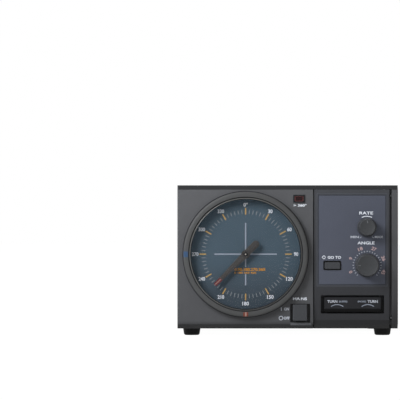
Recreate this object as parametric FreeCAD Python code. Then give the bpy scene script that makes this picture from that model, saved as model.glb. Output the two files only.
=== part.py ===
"""Antenna rotator controller: desk-top case with a round azimuth meter and servo movement.

Millimetres, +Z up, front towards -Y. The pieces are drawn with Y = 0 at the face of the front
panel, X = 0 on the middle of the case and Z = 0 under the feet, and are moved along Y together
at the end, so that the origin is the bottom centre of the whole object.
"""
import FreeCAD
import Part
import math
import os

V = FreeCAD.Vector

# Case
case_d = 193.0
edge_left = 3.4
edge_bottom = 9.0
edge_top = 4.0
meter_to_section = 2.6
section_w = 71.3
strip_w = 5.7
foot_h = 6.5
foot_r_top = 8.0
foot_r_bottom = 7.0
foot_inset_x = 13.0
foot_inset_y = 22.0
rubber_rib = 1.0
sheet = 1.2
cover_sheet = 1.0
cover_inset = 1.0
cover_play = 0.1
flange_h = 13.0
front_flange_h = 5.8
ear_h = 16.0
ear_w = 7.0
rail_h = 12.0
rail_drop = 5.0
rear_sheet = 1.5
vent_w = 2.4
vent_len = 26.0
vent_pitch = 7.0
top_vents = 14
side_vents = 10
floor_vents = 8
vent_row_gap = 24.0
side_vent_low = 32.0
rear_vent_drop = 25.0
cover_screw_in = 14.0

# Front bezel moulding
bezel_d = 12.0
bezel_wall = 3.0
bezel_chamfer = 4.0
bezel_side_chamfer = 0.8
post_r = 2.0
post_inset_x = 5.4
post_low = 9.5
post_high = 9.5
screw_hole_r = 1.3

# Meter
aperture_r = 50.0
lip_w = 1.2
lip_h = 1.0
spigot_wall = 2.2
spigot_out = 4.6
lens_seat = 0.6
barrel_wall = 2.4
flange_step = 1.2
housing_flange_t = 2.0
housing_back = 20.5
lug_r = 4.5
lug_step = 3.4
lug_bearings = (30.0, 150.0, 210.0, 330.0)
ring_w = 4.9
ring_out = 6.2
ring_round = 1.6
ring_play = 0.3
ring_bead = 0.7
ring_bead_w = 1.2
groove_h = 0.7
groove_w = 2.0
land_step = 1.1
land_h = 0.4
lens_t = 1.4
lens_play = 0.1
sleeve_t = 0.8
dial_y = 4.0
dial_t = 1.5
dial_hole_r = 2.6
movement_t = 1.5

# Pointer and gear train
pointer_rest_deg = 225.0
needle_short = 10.6
needle_tail = 15.0
needle_w_hub = 5.2
needle_w_tip = 3.6
needle_w_tail = 6.0
needle_t = 0.8
needle_rib_w = 1.0
needle_rib_h = 0.25
hub_r = 3.2
hub_back = 1.8
needle_screw_r = 2.0
needle_screw_h = 0.6
shaft_r = 1.0
bush_flange_t = 0.8
bush_wall = 1.5
shaft_play = 0.05
gear_module = 0.5
pointer_teeth = 40
pinion_teeth = 12
pot_teeth = 60
gear_front = 9.0
gear_t = 3.0
mesh_play = 0.12
gear_hub_r = 4.0
gear_hub_t = 2.0
web_hole_r = 1.8
pot_web_hole_r = 3.0
web_holes = 5
motor_bearing_deg = 225.0
pot_bearing_deg = 45.0
motor_r = 10.0
motor_len = 28.0
motor_shaft_r = 1.0
motor_shaft_in = 6.0
feedback_pot_r = 8.5
feedback_pot_len = 10.0
pot_shaft_r = 3.0
pot_shaft_in = 4.0
movement_posts = 3
movement_post_r = 2.5
movement_post_inset = 3.5

# Overlap lamp
lamp_from_section = 12.7
lamp_drop = 12.2
lamp_frame_w = 10.5
lamp_frame_h = 7.0
lamp_frame_out = 0.7
lamp_rim = 1.2
lamp_bulb_r = 2.5
lamp_bulb_len = 7.0

# Power switch
well_from_section = 11.7
well_rise = 14.1
well_w = 18.1
well_h = 16.8
well_d = 5.0
well_wall = 1.5
power_left = 0.2
power_lift = 0.5
power_w = 13.0
power_h = 14.8
power_out = 3.0
power_travel = 3.0
power_stem = 5.0
power_stem_in = 10.0
power_switch_side = 13.6
power_switch_len = 22.0

# Right-hand panel section
section_gap_left = 1.1
section_gap_right = 2.1
section_top_margin = 3.6
section_top_gap = 0.2
surround_d = 8.0
surround_wall = 3.5
surround_side = 1.5
surround_lap = 1.0
surround_flange_t = 1.5
fold_rise = 37.3
slope_foot_rise = 7.8
slope_depth = 2.5
toe_rise = 3.5
plate_edge_left = 3.4
plate_edge_right = 3.0
plate_edge_bottom = 2.3
plate_edge_top = 4.8
plate_t = 1.0
plate_sink = 0.2
plate_play = 0.1

# Speed and preset knobs
speed_from_right = 17.4
speed_drop = 29.6
speed_r_face = 7.25
speed_r_base = 8.75
speed_len = 11.5
preset_from_right = 17.2
preset_rise = 17.9
preset_r_face = 9.6
preset_r_base = 10.9
preset_len = 13.5
knob_gap = 0.5
knob_round = 0.8
knob_shell = 2.0
knob_core_r = 4.6
knob_hollow = 5.0
pot_body_r = 8.0
pot_body_len = 9.0
pot_bush_r = 3.6
knob_shaft_r = 3.0
knob_shaft_in = 5.0
nut_r = 4.8
nut_t = 2.0
pot_leg = 1.2
switch_leg_len = 5.0
switch_leg_spread = 4.0
motor_boss_len = 2.0

# Start button
start_from_left = 12.9
start_drop = 0.2
start_hole_w = 16.3
start_hole_h = 8.6
start_w = 13.8
start_h = 6.1
start_round = 1.0
start_out = 1.6
start_travel = 1.0
start_flange = 1.2
start_flange_t = 1.0
start_stem = 3.6
tact_side = 10.0
tact_t = 3.6
tact_plunger_r = 3.0
tact_plunger_t = 0.8

# Direction rocker
rocker_shift = 0.6
rocker_rise = 21.95
rocker_side_gap = 3.15
rocker_h = 13.3
rocker_out = 1.2
rocker_in = 3.3
rocker_round = 1.0
rocker_swing_deg = 4.0
rocker_recess_edge = 5.35
rocker_recess_h = 16.7
rocker_recess_d = 7.6
rocker_pin_r = 1.0
rocker_pin_in = 5.0
rocker_boss_w = 4.4
rocker_boss_h = 5.0
rocker_ear_t = 2.4
rocker_ear_gap = 0.3
rocker_ear_w = 3.4
rocker_switch_inset = 5.55
rocker_plunger_r = 1.5
rocker_plunger_hole_r = 2.4

# Control board
board_t = 1.6
control_board_y = 17.0
control_post_r = 3.0
control_post_inset = 3.5

# Main board and power parts
standoff_h = 8.0
standoff_r = 3.0
main_board_w = 98.0
main_board_len = 114.0
main_board_side_gap = 7.9
main_board_rear_gap = 15.5
main_board_inset = 5.0
cap_in = 17.0
cap_first = 18.0
cap_gap = 4.0
cap_radii = (11.0, 9.0, 6.5)
cap_height_per_r = 3.4
cap_chamfer = 1.0
relay_w = 15.0
relay_d = 19.0
relay_h = 15.5
relay_pitch = 21.0
relay_count = 3
relay_in = 36.0
relay_first = 16.0
sink_in = 14.0
sink_w = 3.0
sink_len = 88.0
sink_h = 42.0
sink_fin = 13.0
sink_fin_t = 1.8
sink_fins = 9
transistor_w = 10.0
transistor_h = 15.0
transistor_t = 4.4
transistor_leg = 4.0
transistor_count = 4
transformer_side_gap = 43.9
transformer_rear_gap = 65.0
lamination_w = 66.0
lamination_h = 55.0
lamination_d = 24.0
window_w = 11.0
winding_over = 11.0
winding_round = 4.0
transformer_foot = 9.0
transformer_foot_t = 1.6

# Rear connectors
rear_row_rise = 31.5
inlet_from_side = 36.0
inlet_w = 28.0
inlet_h = 21.0
inlet_in = 22.0
inlet_flange_w = 48.0
inlet_flange_h = 25.0
inlet_flange_t = 2.5
inlet_recess_w = 24.0
inlet_recess_h = 17.0
inlet_recess_d = 17.0
inlet_recess_round = 3.0
inlet_pin_w = 2.0
inlet_pin_h = 4.0
inlet_pin_pitch = 7.0
inlet_pin_lift = 1.5
inlet_earth_lift = 3.0
inlet_pin_len = 14.0
fuse_from_inlet = 36.0
fuse_body_r = 6.0
fuse_body_len = 30.0
fuse_collar_r = 8.2
fuse_collar_t = 3.0
fuse_cap_r = 6.4
fuse_cap_len = 9.0
fuse_cap_gap = 0.3
fuse_flutes = 12
fuse_flute_r = 0.7
fuse_plug_r = 3.2
fuse_plug_len = 14.0
socket_from_fuse = 34.0
socket_r = 13.0
socket_wall = 1.6
socket_out = 6.0
socket_in = 12.0
socket_flange = 31.0
socket_flange_t = 1.6
socket_insert_sink = 1.2
socket_pins = 6
socket_pin_r = 1.4
socket_pin_circle = 7.0
socket_pin_depth = 2.0
remote_from_socket = 36.0
remote_r = 7.0
remote_out = 1.5
remote_in = 12.0
remote_pins = 6
remote_pin_r = 0.6
remote_pin_circle = 3.4
dc_from_remote = 24.0
dc_side = 11.0
dc_bore_r = 1.9
dc_in = 13.0
ground_from_side = 10.0
ground_rise = 55.5
ground_r = 2.0
ground_len = 9.0
ground_nut_r = 4.5
ground_nut_t = 3.0

# Fasteners
m3_head_r = 2.8
m3_head_t = 0.9
m3_shank_r = 1.2
m3_len = 6.0
small_head_r = 2.0
small_shank_r = 1.0
small_hole_r = 1.1
foot_screw_len = 5.0
foot_screw_sink = 2.5

# Meter radii, each a wall or a clearance outside the one before
lip_outer_r = aperture_r + lip_w
housing_bore_r = aperture_r + lens_seat
spigot_r = aperture_r + spigot_wall
ring_bore_r = spigot_r + ring_play
ring_r = ring_bore_r + ring_w
land_r = ring_r + land_step
barrel_r = spigot_r + barrel_wall / 2
housing_flange_r = barrel_r + flange_step
lug_circle_r = housing_flange_r + lug_step
needle_reach = aperture_r - needle_short
movement_post_circle_r = aperture_r - movement_post_inset

# Outside of the case, round the meter and the right-hand section
case_w = edge_left + 2 * land_r + meter_to_section + section_w + strip_w
case_h = edge_bottom + 2 * land_r + edge_top
bottom_z = foot_h
top_z = foot_h + case_h
half_w = case_w / 2
cover_out = half_w - cover_inset
cover_in = cover_out - cover_sheet
cover_top = top_z - cover_inset / 2
inner_half = cover_in - cover_play
rear_in = case_d - rear_sheet
floor_z = bottom_z + sheet
board_z = floor_z + standoff_h
board_top = board_z + board_t

# Places on the front
meter_x = edge_left + land_r - half_w
meter_z = bottom_z + edge_bottom + land_r
section_right = half_w - strip_w
section_left = section_right - section_w
surround_left = section_left + section_gap_left
surround_right = section_right - section_gap_right
surround_top = top_z - section_top_margin - section_top_gap
fold_z = bottom_z + fold_rise
slope_foot_z = bottom_z + slope_foot_rise
toe_z = bottom_z + toe_rise
plate_left = surround_left + plate_edge_left
plate_right = surround_right - plate_edge_right
plate_bottom = fold_z + plate_edge_bottom
plate_top = surround_top - plate_edge_top
lamp_x = section_left - lamp_from_section
lamp_z = top_z - lamp_drop
well_x = section_left - well_from_section
well_z = bottom_z + well_rise
power_x = well_x - power_left
power_z = well_z + power_lift
speed_x = plate_right - speed_from_right
speed_z = plate_top - speed_drop
preset_x = plate_right - preset_from_right
preset_z = plate_bottom + preset_rise
start_x = plate_left + start_from_left
start_z = preset_z - start_drop
rocker_recess_w = surround_right - surround_left - 2 * rocker_recess_edge
rocker_w = rocker_recess_w - 2 * rocker_side_gap
rocker_x = (surround_left + surround_right) / 2 + rocker_shift
rocker_z = bottom_z + rocker_rise
rocker_switch_x = rocker_w / 2 - rocker_switch_inset
post_x = half_w - post_inset_x
post_z_low = bottom_z + post_low
post_z_high = top_z - post_high
rail_z_low = top_z - rail_drop - rail_h
rail_z_high = top_z - rail_drop

# Places inside and on the rear
main_board_right = inner_half - main_board_side_gap
main_board_left = main_board_right - main_board_w
main_board_back = rear_in - main_board_rear_gap
main_board_front = main_board_back - main_board_len
cap_x = main_board_left + cap_in
relay_x = main_board_left + relay_in
relay_y = main_board_front + relay_first
sink_x = main_board_right - sink_in
sink_y = (main_board_front + main_board_back) / 2
transformer_x = transformer_side_gap - inner_half
transformer_y = case_d - transformer_rear_gap
rear_row_z = bottom_z + rear_row_rise
inlet_x = inlet_from_side - half_w
fuse_x = inlet_x + fuse_from_inlet
socket_x = fuse_x + socket_from_fuse
remote_x = socket_x + remote_from_socket
dc_x = remote_x + dc_from_remote
ground_x = ground_from_side - half_w
ground_z = bottom_z + ground_rise

# Depths
front_reach = preset_len + knob_gap - plate_sink
rear_reach = fuse_collar_t + fuse_cap_gap + fuse_cap_len
shift_y = (front_reach - rear_reach - case_d) / 2
lens_front = lip_h - spigot_out
lens_back = lens_front + lens_t
slope_rad = math.atan2(slope_depth, fold_z - slope_foot_z)
slope_deg = math.degrees(slope_rad)
rocker_y = slope_depth * (fold_z - rocker_z) / (fold_z - slope_foot_z)
plate_front = plate_sink
plate_back = plate_sink + plate_t
shaft_end = housing_back + movement_t
needle_bar_y = -needle_t / 2


def box(x0, x1, y0, y1, z0, z1):
    """A block between two corners."""
    return Part.makeBox(x1 - x0, y1 - y0, z1 - z0, V(x0, y0, z0))


def block(x, z, w, h, y0, y1):
    """A block centred on (x, z), from y0 back to y1."""
    return box(x - w / 2, x + w / 2, y0, y1, z - h / 2, z + h / 2)


def rod(r, x, z, y0, y1):
    """A cylinder along Y."""
    return Part.makeCylinder(r, y1 - y0, V(x, y0, z), V(0, 1, 0))


def post(r, x, y, z0, z1):
    """A cylinder along Z."""
    return Part.makeCylinder(r, z1 - z0, V(x, y, z0), V(0, 0, 1))


def cone(r0, r1, x, z, y0, y1):
    """A cone along Y, radius r0 at y0 and r1 at y1."""
    return Part.makeCone(r0, r1, y1 - y0, V(x, y0, z), V(0, 1, 0))


def prism(points, x0, x1):
    """A profile of (y, z) points drawn out along X."""
    wire = Part.makePolygon([V(x0, y, z) for y, z in points + points[:1]])
    return Part.Face(wire).extrude(V(x1 - x0, 0, 0))


def revolve(points, x, z):
    """A profile of (radius, y) points turned about the Y line through (x, z)."""
    wire = Part.makePolygon([V(x + r, y, z) for r, y in points + points[:1]])
    return Part.Face(wire).revolve(V(x, 0, z), V(0, 1, 0), 360)


def rounded(shape, radius, picked):
    """Fillet the edges that the test picks."""
    return shape.makeFillet(radius, [edge for edge in shape.Edges if picked(edge)])


def chamfered(shape, size, picked):
    """Chamfer the edges that the test picks."""
    return shape.makeChamfer(size, [edge for edge in shape.Edges if picked(edge)])


def along(axis):
    """A test for straight edges that run along one axis."""
    def test(edge):
        size = (edge.BoundBox.XLength, edge.BoundBox.YLength, edge.BoundBox.ZLength)
        others = [size[i] for i in range(3) if i != axis]
        return max(others) < 1e-6 < size[axis]
    return test


def bearing(deg):
    """The (x, z) direction of a compass bearing on the dial, as seen from the front."""
    return math.sin(math.radians(deg)), math.cos(math.radians(deg))


def save(name, *solids):
    """Move the solids to the origin and write them as one node."""
    shape = solids[0] if len(solids) == 1 else Part.makeCompound(list(solids))
    shape = shape.copy()
    shape.translate(V(0, shift_y, 0))
    shape.exportStep("parts/%s.step" % name)


def pan_screw(x, y, z, direction, length=m3_len, head_r=m3_head_r, shank_r=m3_shank_r):
    """A pan-head screw whose head rests at the point and whose shank runs along the direction."""
    d = V(*direction)
    head = Part.makeCylinder(head_r, m3_head_t, V(x, y, z) - d * m3_head_t, d)
    return head.fuse(Part.makeCylinder(shank_r, length, V(x, y, z), d)).removeSplitter()


def screw_hole(x, y, z, direction, length, radius=screw_hole_r):
    """The hole for such a screw, with room round the shank."""
    d = V(*direction)
    return Part.makeCylinder(radius, length, V(x, y, z) - d * length / 2, d)


def lug_places():
    """Centres of the four lugs that hold the meter to the bezel."""
    places = []
    for deg in lug_bearings:
        dx, dz = bearing(deg)
        places.append((meter_x + lug_circle_r * dx, meter_z + lug_circle_r * dz))
    return places


def bezel_posts():
    """Centres of the four posts that take the screws of the front bezel."""
    return [(sx * post_x, z) for sx in (-1, 1) for z in (post_z_low, post_z_high)]


def front_bezel():
    """Moulded front frame with the meter hole, the switch well and the opening for the section."""
    outer = prism([(0, bottom_z + bezel_chamfer), (bezel_chamfer, bottom_z), (bezel_d, bottom_z),
                   (bezel_d, top_z), (bezel_chamfer, top_z), (0, top_z - bezel_chamfer)],
                  -half_w, half_w)

    def side_edge(edge):
        """Edges at the two ends, in front of the rim."""
        bound = edge.BoundBox
        at_end = bound.XLength < 1e-6 and abs(abs(bound.XMin) - half_w) < 1e-6
        return at_end and bound.YMax <= bezel_chamfer + 1e-6
    outer = outer.makeChamfer(bezel_side_chamfer, [e for e in outer.Edges if side_edge(e)])
    outer = outer.fuse(rod(land_r, meter_x, meter_z, -land_h, bezel_wall))
    body = outer.cut(box(-half_w + bezel_wall, half_w - bezel_wall, bezel_wall, bezel_d + 1,
                         bottom_z + bezel_wall, top_z - bezel_wall))
    body = body.fuse(block(well_x, well_z, well_w + 2 * well_wall, well_h + 2 * well_wall,
                           bezel_wall / 2, well_d + well_wall))
    solids = [rod(post_r, x, z, bezel_wall / 2, bezel_d) for x, z in bezel_posts()]
    solids += [rod(lug_r, x, z, bezel_wall / 2, bezel_wall) for x, z in lug_places()]
    body = body.fuse(solids)
    cuts = [rod(ring_bore_r, meter_x, meter_z, -land_h - 1, bezel_wall + 1)]
    cuts.append(box(section_left, section_right, -1, surround_d + section_top_gap,
                    bottom_z - 1, top_z - section_top_margin))
    cuts.append(block(well_x, well_z, well_w, well_h, -1, well_d))
    cuts.append(block(power_x, power_z, power_stem + 1, power_stem + 1, 0, well_d + 2 * well_wall))
    cuts.append(block(lamp_x, lamp_z, lamp_frame_w - 2 * lamp_rim, lamp_frame_h - 2 * lamp_rim,
                      -1, bezel_wall + 1))
    cuts += [screw_hole(x, bezel_d, z, (0, 1, 0), 2 * m3_len, small_hole_r)
             for x, z in bezel_posts()]
    cuts += [screw_hole(x, bezel_wall, z, (0, 1, 0), bezel_wall, small_hole_r)
             for x, z in lug_places()]
    save("front_bezel", body.cut(cuts).removeSplitter())


def panel_surround():
    """Right-hand section: flat frame above, slope with the rocker recess below."""
    left = surround_left
    right = surround_right
    top = surround_top
    back = surround_d
    toe = slope_depth + toe_z - bottom_z
    outer = prism([(0, top), (0, fold_z), (slope_depth, slope_foot_z), (slope_depth, toe_z),
                   (toe, bottom_z), (back, bottom_z), (back, top)], left, right)
    wall = surround_wall
    inner = prism([(wall, top - surround_side), (wall, fold_z), (slope_depth + wall, slope_foot_z),
                   (slope_depth + wall, toe_z), (back + 1, toe_z), (back + 1, top - surround_side)],
                  left + surround_side, right - surround_side)
    body = outer.cut(inner)
    flange_low = bottom_z + bezel_wall + section_top_gap
    flange_high = top_z - bezel_wall - section_top_gap
    for x0, x1 in ((section_left - surround_lap, left), (right, section_right + surround_lap)):
        body = body.fuse(box(x0, x1, bezel_wall, bezel_wall + surround_flange_t,
                             flange_low, flange_high))
    posts = [rod(control_post_r, x, z, wall - 1, control_board_y) for x, z in control_posts()]
    recess = tilt(block(rocker_x, rocker_z, rocker_recess_w + 2 * surround_side,
                        rocker_recess_h + 2 * surround_side,
                        rocker_y + 1, rocker_y + rocker_recess_d + surround_side))
    body = body.fuse(posts + [recess])
    pocket = block((plate_left + plate_right) / 2, (plate_bottom + plate_top) / 2,
                   plate_right - plate_left + 2 * plate_play,
                   plate_top - plate_bottom + 2 * plate_play, -1, plate_back)
    cuts = [pocket, start_hole(0), tilt(rocker_recess_cut())]
    cuts += [rod(pot_bush_r + plate_play, x, z, 0, wall + 1) for x, z in knob_places()]
    cuts += [rod(rocker_plunger_hole_r, rocker_x + s * rocker_switch_x, rocker_z,
                 rocker_y, control_board_y) for s in (-1, 1)]
    cuts += [screw_hole(x, control_board_y, z, (0, 1, 0), 2 * m3_len, small_hole_r)
             for x, z in control_posts()]
    cuts += [rod(post_r + ring_play, x, z, 0, bezel_d) for x, z in bezel_posts()]
    body = body.cut(cuts)
    ears = [tilt(rocker_ear(side)) for side in (-1, 1)]
    save("panel_surround", body.fuse(ears).removeSplitter())


def tilt(shape):
    """Lean a shape drawn upright at the rocker back onto the slope."""
    shape = shape.copy()
    shape.rotate(V(rocker_x, rocker_y, rocker_z), V(1, 0, 0), slope_deg)
    return shape


def rocker_recess_cut():
    """The open recess that the rocker lies in."""
    cut = block(rocker_x, rocker_z, rocker_recess_w, rocker_recess_h,
                rocker_y - slope_depth, rocker_y + rocker_recess_d)
    return rounded(cut, rocker_round, along(1))


def rocker_ear(side):
    """One of the two ears on the floor of the recess that hold the hinge pin."""
    low = rocker_boss_h / 2 + rocker_ear_gap
    z0, z1 = sorted((side * low, side * (low + rocker_ear_t)))
    front = rocker_y + rocker_pin_in - rocker_ear_w / 2 + rocker_ear_gap
    ear = box(rocker_x - rocker_ear_w / 2, rocker_x + rocker_ear_w / 2, front,
              rocker_y + rocker_recess_d + surround_side / 2, rocker_z + z0, rocker_z + z1)
    hole = post(rocker_pin_r, rocker_x, rocker_y + rocker_pin_in, rocker_z + z0 - 1,
                rocker_z + z1 + 1)
    return ear.cut(hole)


def rocker_pin():
    """Hinge pin of the rocker, held in both ears."""
    half = rocker_boss_h / 2 + rocker_ear_gap + rocker_ear_t
    save("rocker_pin", tilt(post(rocker_pin_r, rocker_x, rocker_y + rocker_pin_in,
                                 rocker_z - half, rocker_z + half)))


def direction_rocker():
    """Long key that rocks left and right on its pin, with a finger dip at each end."""
    bar = block(rocker_x, rocker_z, rocker_w, rocker_h, rocker_y - rocker_out, rocker_y + rocker_in)
    bar = rounded(bar, rocker_round, along(1))
    dip_r = rocker_w
    for side in (-1, 1):
        dip = Part.makeCylinder(dip_r, rocker_h + 2, V(rocker_x + side * rocker_w / 4,
                                rocker_y - rocker_out - dip_r + rocker_pin_r / 2,
                                rocker_z - rocker_h / 2 - 1), V(0, 0, 1))
        bar = bar.cut(dip)
    pin_y = rocker_y + rocker_pin_in
    boss = block(rocker_x, rocker_z, rocker_boss_w, rocker_boss_h, rocker_y + rocker_in - 1, pin_y)
    boss = boss.fuse(post(rocker_boss_w / 2, rocker_x, pin_y, rocker_z - rocker_boss_h / 2,
                          rocker_z + rocker_boss_h / 2))
    hole = post(rocker_pin_r + shaft_play, rocker_x, pin_y, rocker_z - rocker_h, rocker_z + rocker_h)
    save("direction_rocker", tilt(bar.fuse(boss).cut(hole).removeSplitter()))


def rocker_switches():
    """Two push switches on the control board, one under each end of the rocker."""
    rest = rocker_y + rocker_in + rocker_switch_x * math.sin(math.radians(rocker_swing_deg))
    front = rest + knob_gap + rocker_plunger_hole_r * math.sin(slope_rad)
    body_front = control_board_y - tact_t
    solids = []
    for side in (-1, 1):
        x = rocker_x + side * rocker_switch_x
        body = block(x, rocker_z, tact_side, tact_side, body_front, control_board_y)
        solids.append(body.fuse(rod(rocker_plunger_r, x, rocker_z, front, body_front + 1)))
    save("rocker_switches", *solids)


def control_plate():
    """Thin plate of the upper right section, with the holes of its three controls."""
    plate = box(plate_left, plate_right, plate_front, plate_back, plate_bottom, plate_top)
    holes = [rod(pot_bush_r + plate_play, x, z, -1, plate_back + 1) for x, z in knob_places()]
    save("control_plate", plate.cut(holes + [start_hole(0)]))


def start_hole(grow):
    """The rounded slot that the start button moves in."""
    slot = block(start_x, start_z, start_hole_w + grow, start_hole_h + grow, -1, surround_wall + 1)
    return rounded(slot, start_round, along(1))


def knob_places():
    """Centres of the two knobs."""
    return [(speed_x, speed_z), (preset_x, preset_z)]


def control_posts():
    """Centres of the posts that carry the control board."""
    left = surround_left + surround_side + control_post_inset
    right = surround_right - surround_side - control_post_inset
    low = plate_bottom + control_post_inset
    high = plate_top - control_post_inset
    return [(x, z) for x in (left, right) for z in (low, high)]


def control_board():
    """Circuit board behind the right section."""
    left = surround_left + surround_side
    right = surround_right - surround_side
    board = box(left, right, control_board_y, control_board_y + board_t, slope_foot_z, plate_top)
    holes = [screw_hole(x, control_board_y, z, (0, 1, 0), 2 * m3_len, small_hole_r)
             for x, z in control_posts()]
    save("control_board", board.cut(holes))


def start_button():
    """Small push button with a flange that keeps it behind the panel."""
    front = plate_front - start_out
    flange_y = surround_wall + ring_play
    cap = block(start_x, start_z, start_w, start_h, front, flange_y + start_flange_t / 2)
    cap = rounded(cap, start_round, along(1))
    flange = block(start_x, start_z, start_hole_w + 2 * start_flange,
                   start_hole_h + 2 * start_flange, flange_y, flange_y + start_flange_t)
    stem_end = control_board_y - tact_t - tact_plunger_t - start_travel - ring_play
    stem = block(start_x, start_z, start_stem, start_stem, flange_y, stem_end)
    save("start_button", cap.fuse([flange, stem]).removeSplitter())


def start_switch():
    """Push switch that the start button works."""
    front = control_board_y - tact_t
    body = block(start_x, start_z, tact_side, tact_side, front, control_board_y)
    plunger = rod(tact_plunger_r, start_x, start_z, front - tact_plunger_t, front + tact_t / 2)
    save("start_switch", body.fuse(plunger).removeSplitter())


def knob(name, x, z, r_face, r_base, length):
    """Tapered knob, hollow behind, with a core that takes the shaft."""
    back = plate_front - knob_gap
    front = back - length
    skin = cone(r_face, r_base, x, z, front, back)
    skin = rounded(skin, knob_round, lambda e: e.BoundBox.YMax < front + 1e-6)
    hollow = rod(r_face - knob_shell, x, z, back - knob_hollow, back + 1)
    core = rod(knob_core_r, x, z, back - knob_hollow - 1, back - nut_t)
    bore = rod(knob_shaft_r, x, z, front + knob_shell, back + 1)
    save(name, skin.cut(hollow).fuse(core).cut(bore).removeSplitter())


def knob_shaft(name, x, z, length):
    """Shaft between a knob and its potentiometer."""
    front = plate_front - knob_gap - length + knob_shell
    save(name, rod(knob_shaft_r, x, z, front, surround_wall + knob_shaft_in))


def panel_pot(name, x, z):
    """Potentiometer behind the panel, with its bush, nut and soldered legs."""
    body = rod(pot_body_r, x, z, surround_wall, surround_wall + pot_body_len)
    bush = rod(pot_bush_r, x, z, plate_front - nut_t + ring_play, surround_wall + 1)
    bore = rod(knob_shaft_r + shaft_play, x, z, -preset_len, surround_wall + knob_shaft_in + knob_gap)
    nut = rod(nut_r, x, z, plate_front - nut_t + ring_play, plate_front)
    legs = [block(x + i * 2 * pot_leg, z - pot_body_r + pot_leg, pot_leg, pot_leg,
                  surround_wall + pot_body_len - 1, control_board_y) for i in (-1, 0, 1)]
    save(name, body.fuse([bush, nut] + legs).cut(bore).removeSplitter())


def meter_housing():
    """Round meter body: spigot for the ring in front, barrel and lugs behind."""
    flange_back = bezel_wall + housing_flange_t
    body = revolve([(lip_outer_r, -spigot_out), (spigot_r, -spigot_out),
                    (spigot_r, groove_front()), (spigot_r - groove_h, groove_front()),
                    (spigot_r - groove_h, groove_front() + groove_w),
                    (spigot_r, groove_front() + groove_w), (spigot_r, bezel_wall),
                    (housing_flange_r, bezel_wall), (housing_flange_r, flange_back),
                    (barrel_r, flange_back), (barrel_r, housing_back),
                    (housing_bore_r, housing_back), (housing_bore_r, lens_front),
                    (aperture_r, lens_front)], meter_x, meter_z)
    lugs = []
    holes = []
    for (x, z), deg in zip(lug_places(), lug_bearings):
        inner = (barrel_r + housing_bore_r) / 2
        web = box(-lug_r, lug_r, bezel_wall, flange_back, inner, lug_circle_r)
        web.rotate(V(0, 0, 0), V(0, 1, 0), deg)
        web.translate(V(meter_x, 0, meter_z))
        lugs += [rod(lug_r, x, z, bezel_wall, flange_back), web]
        holes.append(screw_hole(x, flange_back, z, (0, 1, 0), 3 * m3_len, small_hole_r))
    bore = rod(housing_bore_r, meter_x, meter_z, lens_front, housing_back + 1)
    body = body.fuse(lugs).cut(holes + [bore])
    save("meter_housing", body.removeSplitter())


def groove_front():
    """Front edge of the groove that keeps the ring on the spigot."""
    return -spigot_out + lip_h


def meter_ring():
    """Turning ring round the meter, kept on the spigot by an inner bead."""
    back = -land_h - ring_play
    inner = ring_bore_r
    bead_mid = groove_front() + groove_w / 2
    bead0 = bead_mid - ring_bead_w / 2
    bead1 = bead_mid + ring_bead_w / 2
    ring = revolve([(inner, -ring_out), (ring_r, -ring_out), (ring_r, back), (inner, back),
                    (inner, bead1), (inner - ring_bead, bead1), (inner - ring_bead, bead0),
                    (inner, bead0)], meter_x, meter_z)
    ring = rounded(ring, ring_round, lambda e: e.BoundBox.YMax < 1e-6 - ring_out)
    save("meter_ring", ring)


def meter_lens():
    """Clear window held behind the lip of the housing."""
    save("meter_lens", rod(housing_bore_r - lens_play, meter_x, meter_z, lens_front, lens_back))


def dial_sleeve():
    """Dark sleeve between the window and the dial."""
    outer = housing_bore_r - lens_play
    sleeve = rod(outer, meter_x, meter_z, lens_back, dial_y)
    save("dial_sleeve", sleeve.cut(rod(outer - sleeve_t, meter_x, meter_z, lens_back - 1, dial_y + 1)))


def dial_plate():
    """Dial disc, standing on the posts of the movement."""
    disc = rod(housing_bore_r - lens_play, meter_x, meter_z, dial_y, dial_y + dial_t)
    save("dial_plate", disc.cut(rod(dial_hole_r, meter_x, meter_z, 0, dial_y + 2 * dial_t)))


def pointer_bushes():
    """Two flanged bushes that carry the pointer shaft, in the dial and in the movement plate."""
    bore = rod(shaft_r + shaft_play, meter_x, meter_z, 0, 2 * housing_back)
    front = rod(dial_hole_r, meter_x, meter_z, dial_y - bush_flange_t, dial_y + dial_t)
    front = front.fuse(rod(dial_hole_r + bush_wall, meter_x, meter_z,
                           dial_y + dial_t, dial_y + dial_t + bush_flange_t))
    rear = rod(dial_hole_r, meter_x, meter_z, housing_back - bush_flange_t, shaft_end)
    rear = rear.fuse(rod(dial_hole_r + bush_wall, meter_x, meter_z,
                         housing_back - bush_flange_t, housing_back))
    save("pointer_bushes", front.cut(bore).removeSplitter(), rear.cut(bore).removeSplitter())


def train_places():
    """Centres of the motor pinion and of the feedback gear, which mesh with the pointer gear."""
    places = []
    for teeth, deg in ((pinion_teeth, motor_bearing_deg), (pot_teeth, pot_bearing_deg)):
        dist = gear_module * (pointer_teeth + teeth) / 2
        dx, dz = bearing(deg)
        places.append((meter_x + dist * dx, meter_z + dist * dz))
    return places


def gear(teeth, x, z, y0, y1, first_deg):
    """Spur gear with straight-flanked teeth; the first tooth points at the given bearing."""
    pitch_r = gear_module * teeth / 2
    tip_r = pitch_r + 0.9 * gear_module
    root_r = pitch_r - 1.2 * gear_module
    half_pitch = math.pi / teeth
    play = mesh_play / pitch_r
    at_root = half_pitch * 0.74 - play
    at_tip = half_pitch * 0.26 - play / 2
    points = []
    for i in range(teeth):
        mid = math.radians(first_deg) + 2 * half_pitch * i
        for r, a in ((root_r, -at_root), (tip_r, -at_tip), (tip_r, at_tip), (root_r, at_root)):
            points.append(V(x + r * math.sin(mid + a), y0, z + r * math.cos(mid + a)))
    face = Part.Face(Part.makePolygon(points + points[:1]))
    return face.extrude(V(0, y1 - y0, 0))


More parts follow.
